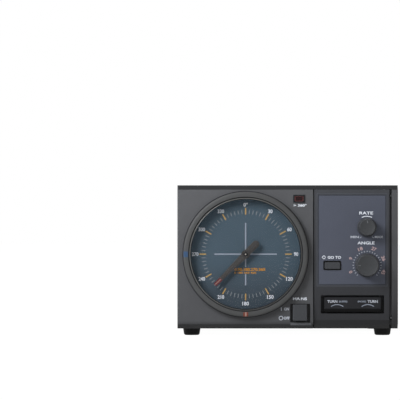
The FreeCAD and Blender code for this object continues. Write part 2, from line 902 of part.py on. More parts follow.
def movement_plate():
    """Plate that closes the meter barrel and carries the shaft, the motor and the feedback pot."""
    (motor_x, motor_z), (pot_x, pot_z) = train_places()
    plate = rod(barrel_r, meter_x, meter_z, housing_back, shaft_end)
    posts = []
    for i in range(movement_posts):
        dx, dz = bearing(pot_bearing_deg + 60 + 120 * i)
        posts.append(rod(movement_post_r, meter_x + movement_post_circle_r * dx,
                         meter_z + movement_post_circle_r * dz, dial_y + dial_t, housing_back + 1))
    holes = [rod(dial_hole_r, meter_x, meter_z, housing_back - 1, shaft_end + 1),
             rod(motor_shaft_r + shaft_play, motor_x, motor_z, housing_back - 1, shaft_end + 1),
             rod(pot_shaft_r + shaft_play, pot_x, pot_z, housing_back - 1, shaft_end + 1)]
    save("movement_plate", plate.fuse(posts).cut(holes).removeSplitter())


def pointer_shaft():
    """Thin shaft that carries the needle and the pointer gear."""
    save("pointer_shaft", rod(shaft_r, meter_x, meter_z, needle_bar_y, shaft_end))


def pointer_gear():
    """Gear on the pointer shaft, with hub and lightening holes."""
    wheel = gear(pointer_teeth, meter_x, meter_z, gear_front, gear_front + gear_t, motor_bearing_deg)
    wheel = wheel.fuse(rod(gear_hub_r, meter_x, meter_z, gear_front + 1,
                           gear_front + gear_t + gear_hub_t))
    cuts = [rod(shaft_r, meter_x, meter_z, 0, housing_back)]
    circle = (gear_hub_r + gear_module * pointer_teeth / 2) / 2
    for i in range(web_holes):
        dx, dz = bearing(360 * i / web_holes)
        cuts.append(rod(web_hole_r, meter_x + circle * dx, meter_z + circle * dz, 0, housing_back))
    save("pointer_gear", wheel.cut(cuts))


def motor_pinion():
    """Pinion and shaft of the servo motor."""
    x, z = train_places()[0]
    half_tooth = 180.0 / pinion_teeth
    pinion = gear(pinion_teeth, x, z, gear_front - knob_gap, gear_front + gear_t + knob_gap,
                  motor_bearing_deg + 180 + half_tooth)
    shaft = rod(motor_shaft_r, x, z, gear_front - 1, shaft_end + motor_shaft_in)
    save("motor_pinion", pinion.fuse(shaft).removeSplitter())


def pot_gear():
    """Feedback gear with its shaft."""
    x, z = train_places()[1]
    teeth_between = (pot_bearing_deg - motor_bearing_deg) * pointer_teeth / 360.0
    offset = (teeth_between - math.floor(teeth_between)) * 360.0 / pot_teeth
    half_tooth = 180.0 / pot_teeth
    wheel = gear(pot_teeth, x, z, gear_front, gear_front + gear_t,
                 pot_bearing_deg + 180 + half_tooth + offset)
    wheel = wheel.fuse(rod(pot_shaft_r + bush_wall, x, z, gear_front + 1,
                           gear_front + gear_t + gear_hub_t))
    shaft = rod(pot_shaft_r, x, z, gear_front, shaft_end + pot_shaft_in)
    circle = (pot_shaft_r + bush_wall + gear_module * pot_teeth / 2) / 2
    cuts = []
    for i in range(web_holes):
        dx, dz = bearing(360 * i / web_holes)
        cuts.append(rod(pot_web_hole_r, x + circle * dx, z + circle * dz, 0, housing_back))
    save("pot_gear", wheel.fuse(shaft).cut(cuts).removeSplitter())


def servo_motor():
    """Small motor behind the movement plate."""
    x, z = train_places()[0]
    can = rod(motor_r, x, z, shaft_end, shaft_end + motor_len)
    can = chamfered(can, knob_round, lambda e: e.BoundBox.YMin > shaft_end + motor_len - 1e-6)
    boss = rod(pot_shaft_r, x, z, shaft_end + motor_len - 1, shaft_end + motor_len + motor_boss_len)
    bore = rod(motor_shaft_r + shaft_play, x, z, 0, shaft_end + motor_shaft_in + knob_gap)
    save("servo_motor", can.fuse(boss).cut(bore).removeSplitter())


def feedback_pot():
    """Potentiometer that reads the pointer back."""
    x, z = train_places()[1]
    body = rod(feedback_pot_r, x, z, shaft_end, shaft_end + feedback_pot_len)
    bore = rod(pot_shaft_r + shaft_play, x, z, 0, shaft_end + pot_shaft_in + knob_gap)
    save("feedback_pot", body.cut(bore))


def needle():
    """Flat pointer with a rounded tail, a raised middle rib and a round hub."""
    y0 = needle_bar_y
    half_tip = needle_w_tip / 2
    half_hub = needle_w_hub / 2
    half_tail = needle_w_tail / 2
    tail_z = -needle_tail + half_tail
    right = [V(half_tail, y0, tail_z), V(half_hub, y0, 0), V(half_tip, y0, needle_reach)]
    left = [V(-half_tip, y0, needle_reach), V(-half_hub, y0, 0), V(-half_tail, y0, tail_z)]
    edges = Part.makePolygon(right + left).Edges
    edges.append(Part.Arc(left[-1], V(0, y0, -needle_tail), right[0]).toShape())
    bar = Part.Face(Part.Wire(edges)).extrude(V(0, needle_t, 0))
    rib = box(-needle_rib_w / 2, needle_rib_w / 2, y0 - needle_rib_h, y0 + needle_t / 2,
              0, needle_reach - needle_w_tip)
    bar = bar.fuse([rib, rod(hub_r, 0, 0, y0 - needle_rib_h, hub_back)])
    bar = bar.cut(rod(shaft_r, 0, 0, y0 - needle_t, hub_back + 1)).removeSplitter()
    bar.rotate(V(0, 0, 0), V(0, 1, 0), pointer_rest_deg)
    bar.translate(V(meter_x, 0, meter_z))
    save("needle", bar)


def needle_screw():
    """Slotted screw in the middle of the hub."""
    back = needle_bar_y - needle_rib_h
    head = rod(needle_screw_r, meter_x, meter_z, back - needle_screw_h, back)
    slot = block(meter_x, meter_z, needle_screw_h, 2 * needle_screw_r + 1,
                 back - needle_screw_h - 1, back - needle_screw_h / 2)
    save("needle_screw", head.cut(slot))


def overlap_lamp():
    """Small rectangular lamp window: a frame on the panel and a lens with its bulb."""
    rim = block(lamp_x, lamp_z, lamp_frame_w, lamp_frame_h, -lamp_frame_out, 0)
    inner_w = lamp_frame_w - 2 * lamp_rim
    inner_h = lamp_frame_h - 2 * lamp_rim
    save("lamp_frame", rim.cut(block(lamp_x, lamp_z, inner_w, inner_h, -1, 1)))
    play = 2 * plate_play
    lens = block(lamp_x, lamp_z, inner_w - play, inner_h - play, -lamp_frame_out / 2, bezel_wall)
    bulb = rod(lamp_bulb_r, lamp_x, lamp_z, bezel_wall, bezel_wall + lamp_bulb_len)
    save("lamp_lens", lens.fuse(bulb).removeSplitter())


def power_button():
    """Push button of the power switch with its stem."""
    back = well_d - power_travel - ring_play
    cap = block(power_x, power_z, power_w, power_h, -power_out, back)
    cap = rounded(cap, knob_round, lambda e: e.BoundBox.YMin < back - 1e-3)
    stem = block(power_x, power_z, power_stem, power_stem, back - 1, power_stem_in)
    save("power_button", cap.fuse(stem).removeSplitter())


def power_switch():
    """Latching mains switch behind the well."""
    front = well_d + well_wall
    body = block(power_x, well_z, power_switch_side, power_switch_side,
                 front, front + power_switch_len)
    bore = block(power_x, power_z, power_stem + 1, power_stem + 1,
                 0, power_stem_in + power_travel + knob_gap)
    legs = [block(power_x + sx * switch_leg_spread, well_z + sz * switch_leg_spread,
                  pot_leg, pot_leg, front + power_switch_len - 1,
                  front + power_switch_len + switch_leg_len) for sx in (-1, 1) for sz in (-1, 1)]
    save("power_switch", body.cut(bore).fuse(legs).removeSplitter())


def cover_screw_places():
    """Height and depths of the screws in the sides of the cover."""
    mid = (rail_z_low + rail_z_high) / 2
    return [(y, mid) for y in (bezel_d + cover_screw_in, rear_in - cover_screw_in)]


def top_cover():
    """Sheet-metal cover over the top and both sides, with rows of vents."""
    low = bottom_z + cover_sheet
    shell = box(-cover_out, cover_out, bezel_d, case_d, low, cover_top)
    shell = rounded(shell, 2 * cover_sheet, lambda e: along(1)(e) and e.BoundBox.ZMin > low + 1)
    inside = box(-cover_in, cover_in, bezel_d - 1, case_d + 1, low - 1, cover_top - cover_sheet)
    shell = shell.cut(rounded(inside, cover_sheet, lambda e: along(1)(e) and e.BoundBox.ZMin > low))
    cuts = []
    for i in range(top_vents):
        x = (i - (top_vents - 1) / 2) * vent_pitch
        for y in (sink_y - vent_row_gap / 2 - vent_len, sink_y + vent_row_gap / 2):
            cuts.append(box(x - vent_w / 2, x + vent_w / 2, y, y + vent_len,
                            cover_top - 2 * cover_sheet, cover_top + 1))
    for i in range(side_vents):
        y = sink_y + (i - (side_vents - 1) / 2) * vent_pitch
        low = bottom_z + side_vent_low
        cuts.append(box(-half_w, half_w, y, y + vent_w, low, low + vent_len))
    for y, z in cover_screw_places():
        cuts.append(screw_hole(0, y, z, (1, 0, 0), 2 * case_w))
    save("top_cover", shell.cut(cuts))


def side_rails():
    """Two folded rails under the cover, joining the bezel to the rear panel."""
    solids = []
    for side in (-1, 1):
        x0, x1 = sorted((side * (inner_half - sheet), side * inner_half))
        rail = box(x0, x1, bezel_d, rear_in, rail_z_low, rail_z_high)
        e0, e1 = sorted((side * (inner_half - ear_w), side * inner_half))
        rail = rail.fuse([box(e0, e1, bezel_d, bezel_d + sheet, rail_z_low, rail_z_high),
                          box(e0, e1, rear_in - sheet, rear_in, rail_z_low, rail_z_high)])
        holes = [screw_hole(0, y, z, (1, 0, 0), 2 * case_w) for y, z in cover_screw_places()]
        holes += [screw_hole(side * post_x, case_d / 2, post_z_high, (0, 1, 0), 2 * case_d)]
        solids.append(rail.cut(holes).removeSplitter())
    save("side_rails", *solids)


def foot_places():
    """Centres of the four feet."""
    return [(sx * (half_w - foot_inset_x), y) for sx in (-1, 1)
            for y in (foot_inset_y, case_d - foot_inset_y)]


def bottom_chassis():
    """Floor pan with folded side, front and rear flanges, ears for the bezel and vents."""
    pan = box(-inner_half, inner_half, bezel_d, rear_in, bottom_z, floor_z)
    parts = []
    for side in (-1, 1):
        x0, x1 = sorted((side * (inner_half - sheet), side * inner_half))
        parts.append(box(x0, x1, bezel_d, rear_in, bottom_z, bottom_z + flange_h))
        e0, e1 = sorted((side * (inner_half - ear_w), side * inner_half))
        parts.append(box(e0, e1, bezel_d, bezel_d + sheet, bottom_z, bottom_z + ear_h))
    parts.append(box(-inner_half, inner_half, bezel_d, bezel_d + sheet,
                     bottom_z, bottom_z + front_flange_h))
    parts.append(box(-inner_half, inner_half, rear_in - sheet, rear_in,
                     bottom_z, bottom_z + flange_h))
    cuts = [screw_hole(sx * post_x, bezel_d, post_z_low, (0, 1, 0), case_d / 4) for sx in (-1, 1)]
    cuts += [screw_hole(x, rear_in, bottom_z + flange_h / 2, (0, 1, 0), case_d / 4)
             for x in rear_screw_places()]
    cuts += [screw_hole(x, y, bottom_z, (0, 0, 1), 4 * sheet) for x, y in foot_places()]
    cuts += [screw_hole(x, y, bottom_z, (0, 0, 1), 4 * sheet) for x, y in standoff_places()]
    cuts += [screw_hole(x, y, bottom_z, (0, 0, 1), 4 * sheet) for x, y in transformer_holes()]
    for i in range(floor_vents):
        y = main_board_front + 2 * vent_pitch + i * vent_pitch
        cuts.append(box(relay_x, relay_x + vent_len, y, y + vent_w, 0, floor_z + 1))
    save("bottom_chassis", pan.fuse(parts).cut(cuts).removeSplitter())


def rear_screw_places():
    """X places of the screws through the foot of the rear panel."""
    return (-half_w * 0.5, 0.0, half_w * 0.5)


def rear_panel():
    """Rear plate with the cut-outs of the connectors."""
    low = bottom_z + cover_sheet
    plate = box(-inner_half, inner_half, rear_in, case_d, low,
                cover_top - cover_sheet - cover_play)
    plate = rounded(plate, 2 * cover_sheet, lambda e: along(1)(e) and e.BoundBox.ZMin > low + 1)
    y0 = rear_in - 1
    y1 = case_d + 1
    cuts = [block(inlet_x, rear_row_z, inlet_w + 2 * plate_play, inlet_h + 2 * plate_play, y0, y1),
            rod(fuse_body_r + plate_play, fuse_x, rear_row_z, y0, y1),
            rod(socket_r + plate_play, socket_x, rear_row_z, y0, y1),
            rod(remote_r + plate_play, remote_x, rear_row_z, y0, y1),
            block(dc_x, rear_row_z, dc_side + 2 * plate_play, dc_side + 2 * plate_play, y0, y1),
            rod(ground_r + plate_play, ground_x, ground_z, y0, y1)]
    cuts += [screw_hole(x, case_d, bottom_z + flange_h / 2, (0, 1, 0), 4 * rear_sheet)
             for x in rear_screw_places()]
    cuts += [screw_hole(sx * post_x, case_d, post_z_high, (0, 1, 0), 4 * rear_sheet)
             for sx in (-1, 1)]
    for i in range(side_vents):
        x = (i - (side_vents - 1) / 2) * vent_pitch
        high = top_z - rear_vent_drop
        cuts.append(box(x - vent_w / 2, x + vent_w / 2, y0, y1, high - vent_len, high))
    save("rear_panel", plate.cut(cuts))


def feet():
    """Four tapered rubber feet with a recess for the screw."""
    solids = []
    for x, y in foot_places():
        foot = Part.makeCone(foot_r_bottom, foot_r_top, foot_h, V(x, y, 0), V(0, 0, 1))
        foot = chamfered(foot, rubber_rib, lambda e: e.BoundBox.ZMax < 1e-6)
        bore = post(m3_head_r + ring_play, x, y, -1, foot_screw_sink)
        hole = post(screw_hole_r, x, y, 0, foot_h + 1)
        solids.append(foot.cut([bore, hole]))
    save("feet", *solids)
    save("foot_screws", *[pan_screw(x, y, foot_screw_sink, (0, 0, 1), foot_screw_len)
                          for x, y in foot_places()])


def screws():
    """Machine screws of the case, of the chassis and of the mouldings."""
    case = []
    for side in (-1, 1):
        case += [pan_screw(side * cover_out, y, z, (-side, 0, 0)) for y, z in cover_screw_places()]
        case.append(pan_screw(side * post_x, case_d, post_z_high, (0, -1, 0)))
    case += [pan_screw(x, case_d, bottom_z + flange_h / 2, (0, -1, 0)) for x in rear_screw_places()]
    save("case_screws", *case)
    heads = [(x, bezel_d + sheet, z, m3_len) for x, z in bezel_posts()]
    heads += [(x, control_board_y + board_t, z, m3_len) for x, z in control_posts()]
    heads += [(x, bezel_wall + housing_flange_t, z, m3_len / 2) for x, z in lug_places()]
    save("moulding_screws", *[pan_screw(x, y, z, (0, -1, 0), length, small_head_r, small_shank_r)
                              for x, y, z, length in heads])
    chassis = [pan_screw(x, y, board_top, (0, 0, -1), standoff_h / 2) for x, y in standoff_places()]
    foot_top = floor_z + transformer_foot_t
    chassis += [pan_screw(x, y, foot_top, (0, 0, -1), m3_len / 2) for x, y in transformer_holes()]
    save("chassis_screws", *chassis)


def standoff_places():
    """Centres of the standoffs under the main board."""
    return [(x, y) for x in (main_board_left + main_board_inset, main_board_right - main_board_inset)
            for y in (main_board_front + main_board_inset, main_board_back - main_board_inset)]


def main_board():
    """Main circuit board on its standoffs, with relays and capacitors."""
    low = board_z
    top = board_top
    board = box(main_board_left, main_board_right, main_board_front, main_board_back, low, top)
    holes = [screw_hole(x, y, low, (0, 0, 1), 4 * board_t) for x, y in standoff_places()]
    save("main_board", board.cut(holes))
    save("board_standoffs", *[post(standoff_r, x, y, floor_z, low).cut(
        post(screw_hole_r, x, y, floor_z - 1, low + 1)) for x, y in standoff_places()])
    relays = []
    for i in range(relay_count):
        y = relay_y + i * relay_pitch
        can = box(relay_x, relay_x + relay_w, y, y + relay_d, top, top + relay_h)
        relays.append(chamfered(can, knob_round, lambda e: e.BoundBox.ZMin > top + 1e-3))
    save("relays", *relays)
    cans = []
    y = main_board_front + cap_first
    for r in cap_radii:
        can_top = top + cap_height_per_r * r
        can = post(r, cap_x, y, top, can_top)
        cans.append(chamfered(can, cap_chamfer, lambda e: e.BoundBox.ZMin > can_top - 1e-3))
        y += 2 * r + cap_gap
    save("filter_capacitors", *cans)


def heat_sink():
    """Finned aluminium heat sink standing on the main board, with its transistors."""
    base = board_top
    plate = box(sink_x - sink_w, sink_x, sink_y - sink_len / 2, sink_y + sink_len / 2,
                base, base + sink_h)
    pitch = (sink_len - sink_fin_t) / (sink_fins - 1)
    fins = []
    for i in range(sink_fins):
        y = sink_y - sink_len / 2 + i * pitch
        fins.append(box(sink_x - sink_w / 2, sink_x + sink_fin, y, y + sink_fin_t,
                        base, base + sink_h))
    save("heat_sink", plate.fuse(fins).removeSplitter())
    devices = []
    for i in range(transistor_count):
        y = sink_y + (i - (transistor_count - 1) / 2) * 2 * transistor_w
        x1 = sink_x - sink_w
        z0 = base + transistor_leg
        body = box(x1 - transistor_t, x1, y - transistor_w / 2, y + transistor_w / 2,
                   z0, z0 + transistor_h)
        legs = [box(x1 - transistor_t / 2 - pot_leg / 2, x1 - transistor_t / 2 + pot_leg / 2,
                    y + k * 2 * pot_leg - pot_leg / 2, y + k * 2 * pot_leg + pot_leg / 2,
                    base, z0 + 1) for k in (-1, 0, 1)]
        devices.append(body.fuse(legs).removeSplitter())
    save("power_transistors", *devices)


def transformer_holes():
    """Centres of the screws in the feet of the transformer frame."""
    reach = lamination_w / 2 + transformer_foot / 2
    return [(transformer_x + s * reach, transformer_y) for s in (-1, 1)]


def transformer():
    """Mains transformer: stacked core with feet, and the rounded windings."""
    z0 = floor_z + transformer_foot_t
    half = lamination_w / 2
    y0 = transformer_y - lamination_d / 2
    y1 = transformer_y + lamination_d / 2
    core = box(transformer_x - half, transformer_x + half, y0, y1, z0, z0 + lamination_h)
    reach = half + transformer_foot
    core = core.fuse(box(transformer_x - reach, transformer_x + reach, y0, y1, floor_z, z0))
    window_h = lamination_h - 2 * window_w
    for side in (-1, 1):
        x = transformer_x + side * window_w
        x0, x1 = sorted((x, x + side * window_w))
        core = core.cut(box(x0, x1, y0 - 1, y1 + 1, z0 + window_w, z0 + window_w + window_h))
    core = core.cut([screw_hole(x, y, floor_z, (0, 0, 1), 4 * transformer_foot_t)
                     for x, y in transformer_holes()])
    save("transformer_core", core.removeSplitter())
    play = plate_play
    wound = box(transformer_x - 2 * window_w + play, transformer_x + 2 * window_w - play,
                y0 - winding_over, y1 + winding_over,
                z0 + window_w + play, z0 + window_w + window_h - play)
    wound = rounded(wound, winding_round, along(2))
    limb = box(transformer_x - window_w - play, transformer_x + window_w + play,
               y0 - play, y1 + play, z0, z0 + lamination_h)
    save("transformer_windings", wound.cut(limb))


def mains_inlet():
    """Mains inlet with its open recess and three pins; no flexible lead is fitted."""
    front = case_d - inlet_in
    body = block(inlet_x, rear_row_z, inlet_w, inlet_h, front, case_d + inlet_flange_t)
    flange = block(inlet_x, rear_row_z, inlet_flange_w, inlet_flange_h,
                   case_d, case_d + inlet_flange_t)
    flange = rounded(flange, inlet_recess_round, along(1))
    recess = block(inlet_x, rear_row_z, inlet_recess_w, inlet_recess_h,
                   case_d + inlet_flange_t - inlet_recess_d, case_d + inlet_flange_t + 1)
    recess = rounded(recess, inlet_recess_round, along(1))
    save("mains_inlet", body.fuse(flange).cut(recess).removeSplitter())
    floor = case_d + inlet_flange_t - inlet_recess_d
    pins = []
    for i in (-1, 0, 1):
        lift = inlet_pin_lift + (inlet_earth_lift if i == 0 else 0)
        pins.append(block(inlet_x + i * inlet_pin_pitch, rear_row_z + lift, inlet_pin_w,
                          inlet_pin_h, floor, floor + inlet_pin_len))
    save("inlet_pins", *pins)


def fuse():
    """Fuse holder through the rear panel and its bayonet cap."""
    body = rod(fuse_body_r, fuse_x, rear_row_z, case_d - fuse_body_len, case_d + fuse_collar_t)
    collar = rod(fuse_collar_r, fuse_x, rear_row_z, case_d, case_d + fuse_collar_t)
    bore = rod(fuse_plug_r + fuse_cap_gap, fuse_x, rear_row_z,
               case_d - fuse_plug_len - knob_gap, case_d + fuse_collar_t + 1)
    save("fuse_holder", body.fuse(collar).cut(bore).removeSplitter())
    back = case_d + fuse_collar_t + fuse_cap_gap
    cap = rod(fuse_cap_r, fuse_x, rear_row_z, back, back + fuse_cap_len)
    cap = rounded(cap, knob_round, lambda e: e.BoundBox.YMin > back + fuse_cap_len - 1e-3)
    flutes = []
    for i in range(fuse_flutes):
        dx, dz = bearing(360 * i / fuse_flutes)
        flutes.append(rod(fuse_flute_r, fuse_x + fuse_cap_r * dx, rear_row_z + fuse_cap_r * dz,
                          back - 1, back + fuse_cap_len - knob_shell))
    plug = rod(fuse_plug_r, fuse_x, rear_row_z, case_d - fuse_plug_len, back + 1)
    slot = block(fuse_x, rear_row_z, knob_shell / 2, fuse_cap_r,
                 back + fuse_cap_len - 1, back + fuse_cap_len + 1)
    save("fuse_cap", cap.cut(flutes + [slot]).fuse(plug).removeSplitter())


def ring_of_holes(x, z, circle, count, r, y0, y1):
    """Contact holes on a circle."""
    holes = []
    for i in range(count):
        dx, dz = bearing(360 * i / count)
        holes.append(rod(r, x + circle * dx, z + circle * dz, y0, y1))
    return holes


def sockets():
    """Round rotator socket, remote socket, supply socket and ground terminal."""
    z = rear_row_z
    shell = rod(socket_r, socket_x, z, case_d - socket_in, case_d + socket_out)
    flange = block(socket_x, z, socket_flange, socket_flange, case_d, case_d + socket_flange_t)
    flange = rounded(flange, inlet_recess_round, along(1))
    face = case_d + socket_out - socket_insert_sink
    body = shell.fuse(flange).cut(rod(socket_r - socket_wall, socket_x, z, face, face + socket_out))
    body = body.cut(ring_of_holes(socket_x, z, socket_pin_circle, socket_pins, socket_pin_r,
                                  face - socket_pin_depth, face + 1))
    save("rotator_socket", body.removeSplitter())
    body = rod(remote_r, remote_x, z, case_d - remote_in, case_d)
    body = body.fuse(rod(remote_r + remote_out, remote_x, z, case_d, case_d + remote_out))
    body = body.cut(ring_of_holes(remote_x, z, remote_pin_circle, remote_pins, remote_pin_r,
                                  case_d - socket_pin_depth, case_d + remote_out + 1))
    save("remote_socket", body.removeSplitter())
    body = block(dc_x, z, dc_side, dc_side, case_d - dc_in, case_d + remote_out)
    body = body.cut(rod(dc_bore_r, dc_x, z, case_d - dc_in / 2, case_d + remote_out + 1))
    save("dc_socket", body.fuse(rod(dc_bore_r / 3, dc_x, z, case_d - dc_in / 2 - 1, case_d)))
    stud = rod(ground_r, ground_x, ground_z, rear_in - ground_nut_t, case_d + ground_len)
    nut = rod(ground_nut_r, ground_x, ground_z, case_d, case_d + ground_nut_t)
    inner = rod(ground_nut_r, ground_x, ground_z, rear_in - ground_nut_t, rear_in)
    save("ground_terminal", stud.fuse([nut, inner]).removeSplitter())


def build():
    """Write every node."""
    os.makedirs("parts", exist_ok=True)
    for make in (front_bezel, panel_surround, rocker_pin, direction_rocker, rocker_switches,
                 control_plate, control_board, start_button, start_switch, meter_housing,
                 meter_ring, meter_lens, dial_sleeve, dial_plate, pointer_bushes, movement_plate,
                 pointer_shaft, pointer_gear, motor_pinion, pot_gear, servo_motor, feedback_pot,
                 needle, needle_screw, overlap_lamp, power_button, power_switch, top_cover,
                 side_rails, bottom_chassis, rear_panel, feet, screws, main_board, heat_sink,
                 transformer, mains_inlet, fuse, sockets):
        make()
    knob("speed_knob", speed_x, speed_z, speed_r_face, speed_r_base, speed_len)
    knob("preset_knob", preset_x, preset_z, preset_r_face, preset_r_base, preset_len)
    knob_shaft("speed_shaft", speed_x, speed_z, speed_len)
    knob_shaft("preset_shaft", preset_x, preset_z, preset_len)
    panel_pot("speed_pot", speed_x, speed_z)
    panel_pot("preset_pot", preset_x, preset_z)


build()
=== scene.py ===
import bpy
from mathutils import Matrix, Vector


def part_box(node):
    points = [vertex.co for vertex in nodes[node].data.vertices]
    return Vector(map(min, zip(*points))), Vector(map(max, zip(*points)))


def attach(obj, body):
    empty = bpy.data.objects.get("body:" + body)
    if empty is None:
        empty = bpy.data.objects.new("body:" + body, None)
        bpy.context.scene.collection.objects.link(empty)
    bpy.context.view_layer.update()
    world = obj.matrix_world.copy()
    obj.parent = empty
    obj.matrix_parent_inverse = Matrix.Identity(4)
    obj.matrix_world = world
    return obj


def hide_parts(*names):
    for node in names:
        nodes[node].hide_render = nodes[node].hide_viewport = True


bl_info = {
    "name": "Antenna rotator controller",
    "version": (1, 0, 0),
    "blender": (4, 5, 0),
    "location": "3D View > Sidebar > Controller",
    "description": "Finishes, print and studio for an antenna rotator controller",
    "category": "Object",
}

import math

import bmesh
import bpy
from bpy.props import FloatProperty, FloatVectorProperty, IntProperty, PointerProperty
from mathutils import Matrix, Vector

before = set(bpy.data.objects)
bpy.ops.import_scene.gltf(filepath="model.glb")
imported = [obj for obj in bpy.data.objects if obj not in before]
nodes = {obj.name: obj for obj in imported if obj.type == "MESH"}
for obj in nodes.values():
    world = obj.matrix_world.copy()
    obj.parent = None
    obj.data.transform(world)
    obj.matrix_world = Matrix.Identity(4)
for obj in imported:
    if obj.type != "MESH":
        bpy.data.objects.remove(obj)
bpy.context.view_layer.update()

MM = 0.001
# Points closer than this are one point, and a radius this near counts as met
MERGE = 0.002 * MM
NEAR = 0.05 * MM
ORIGIN = Vector((0, 0, 0))
# From the viewer into the case
INWARDS = Vector((0, 1, 0))

# Thickness of print and of paint, and how much bolder than the font the letters are
INK = 0.06 * MM
FILM = 0.05 * MM
BOLDER = 0.028

# Steps round large and small turned pieces
LARGE_STEPS = 144
SMALL_STEPS = 48

# Bearings where the rotator's travel starts and ends
TRAVEL_START = 180
TRAVEL_END = 270

# Directions of the fades of painted shade: straight up, and up out of the lower right corner of the
# front
UP = (0, 0, 1)
CORNER = (-1.2, 0, 1)
# The usual range of a noise, what it does to tone and roughness, and how far a chamfer leans while
# its painted shade comes in
NOISE = (0.3, 0.7)
SPECK = 0.07
WEAR = 0.06
SHADE_LEAN = (0.15, 0.4)


def linear(code):
    """Turn a colour written as #rrggbb into the linear values that a shader takes."""
    parts = [int(code[i:i + 2], 16) / 255 for i in (1, 3, 5)]
    return tuple(c / 12.92 if c <= 0.04045 else ((c + 0.055) / 1.055) ** 2.4 for c in parts) + (1,)


def axis(node):
    """Middle of a node as the viewer sees it, at depth zero."""
    low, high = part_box(node)
    centre = (low + high) / 2
    centre.y = 0
    return centre


def spot(place, right, up, ahead=0.0):
    """A place moved by millimetres to the right, up and towards the viewer."""
    return place + Vector((right, -ahead, up)) * MM


# Places read from the frame: the foremost point, the panel's face and the controls
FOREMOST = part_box("preset_knob")[0].y
PANEL_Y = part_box("lamp_frame")[1].y
METER = axis("meter_ring")
SPEED = axis("speed_knob")
PRESET = axis("preset_knob")
START = axis("start_button")
POWER = axis("power_button")
ROCKER = axis("direction_rocker")
LAMP = axis("lamp_frame")


# ----- sizes and colours

def length(name, text, mm):
    """A size in the panel, shown in the scene's units."""
    return FloatProperty(name=name, description=text, default=mm * MM, unit="LENGTH", precision=5)


def colour(name, text, code):
    """A colour in the panel."""
    return FloatVectorProperty(name=name, description=text, default=linear(code), size=4,
                               subtype="COLOR", min=0, max=1)


class MeterSizes(bpy.types.PropertyGroup):
    """Print and trim of the round meter."""
    number_radius: length("Number circle", "Radius of the circle of bearings", 44.9)
    number_height: length("Number height", "Height of a bearing", 3.5)
    number_width: length("Digit width", "Width of one digit of a bearing", 2.0)
    number_shift: length("Number shift", "How far the bearings at the sides stand out", 0.9)
    number_step: IntProperty(name="Number step", description="Degrees between bearings", default=30)
    long_from: length("Long mark start", "Inner radius of the long marks", 35.9)
    long_to: length("Long mark end", "Outer radius of the long marks", 41.9)
    long_width: length("Long mark width", "Width of the long marks", 1.05)
    short_from: length("Short mark start", "Inner radius of the short marks", 36.6)
    short_to: length("Short mark end", "Outer radius of the short marks", 40.2)
    short_width: length("Short mark width", "Width of the short marks", 0.68)
    short_step: IntProperty(name="Short step", description="Degrees between marks", default=5)
    cross_from: length("Cross start", "Where the cross lines start, outside the hub", 4.0)
    cross_reach: length("Cross reach", "Reach of the cross lines from the middle", 28.3)
    cross_width: length("Cross width", "Width of the cross lines", 1.15)
    caption_top: length("Caption top", "Where the lower cross line stops", 11.6)
    caption_foot: length("Caption foot", "Where the lower cross line goes on", 18.1)
    start_mark: length("Start mark", "Width of the mark where the travel starts", 4.6)
    end_mark: length("End mark", "Width of the mark where the travel ends", 5.4)
    ring_inset: length("Ring inset", "From the solid's rim in to the ring's", 0.8)
    ring_wall: length("Ring wall", "From the solid's rim in to the ring's bore", 4.8)
    ring_face: length("Ring face", "Radial width of the turning ring's face", 4.6)
    ring_slope: length("Ring slope", "How far the face lies back at the rim", 0.4)
    ring_lip: length("Ring lip", "Thickness of the face over the spigot", 1.1)
    ring_round: length("Ring round", "Rounding of the rim", 1.5)
    bore_round: length("Bore round", "Rounding of the face's inner edge", 0.35)
    # A dark line printed on the moulding round the ring: painted shade of its gap
    gap_shade_radius: length("Groove circle", "Radius of the groove round the ring", 57.0)
    gap_shade_width: length("Groove width", "Width of the groove round the ring", 0.7)


class NeedleSizes(bpy.types.PropertyGroup):
    """Needle and hub of the meter."""
    rest: IntProperty(name="Bearing", description="Bearing at rest, in degrees", default=225)
    thick: length("Thickness", "Thickness of the needle", 0.9)
    reach: length("Reach", "From the axis to the tip", 39.4)
    tip: length("Tip", "Half the width of the tip", 1.6)
    root: length("Root", "Half the width at the axis", 3.1)
    tail: length("Tail", "From the axis to the middle of the tail's round end", 13.0)
    tail_round: length("Tail round", "Radius of the tail's end", 3.2)
    hub_outer: length("Hub", "Outer radius of the hub's rim", 3.9)
    hub_inner: length("Hub floor", "Inner radius of the hub's rim", 3.0)
    hub_rise: length("Hub rise", "How far the hub's rim stands out", 0.4)
    paint_length: length("Paint length", "Length of the painted tip", 7.7)


class PanelSizes(bpy.types.PropertyGroup):
    """Print, caps and lines of the right-hand section and of the panel."""
    rib_count: IntProperty(name="Knob ribs", description="Ribs round a knob's skirt", default=40)
    rib_depth: length("Rib depth", "Depth of the grooves between ribs", 0.25)
    word_height: length("Word height", "Height of the larger words", 2.7)
    small_height: length("Small height", "Height of the smaller words", 2.1)
    line_width: length("Line width", "Width of the printed lines on the plate", 0.5)
    scale_radius: length("Scale circle", "Radius of the preset scale's numbers", 16.0)
    scale_height: length("Scale height", "Height of the preset scale's numbers", 3.2)
    tick_from: length("Tick start", "Inner radius of the preset scale's ticks", 11.9)
    tick_to: length("Tick end", "Outer radius of the preset scale's ticks", 13.2)
    symbol_width: length("Symbol width", "Width of the symbols' lines by the power button", 0.55)
    fold_height: length("Fold height", "Height of the fold under the plate", 43.4)
    # Painted shadow along the fold
    fold_shadow_width: length("Fold width", "Width of the crease along the fold", 0.9)
    ledge_height: length("Ledge height", "Height of the ledge under the power button", 10.6)


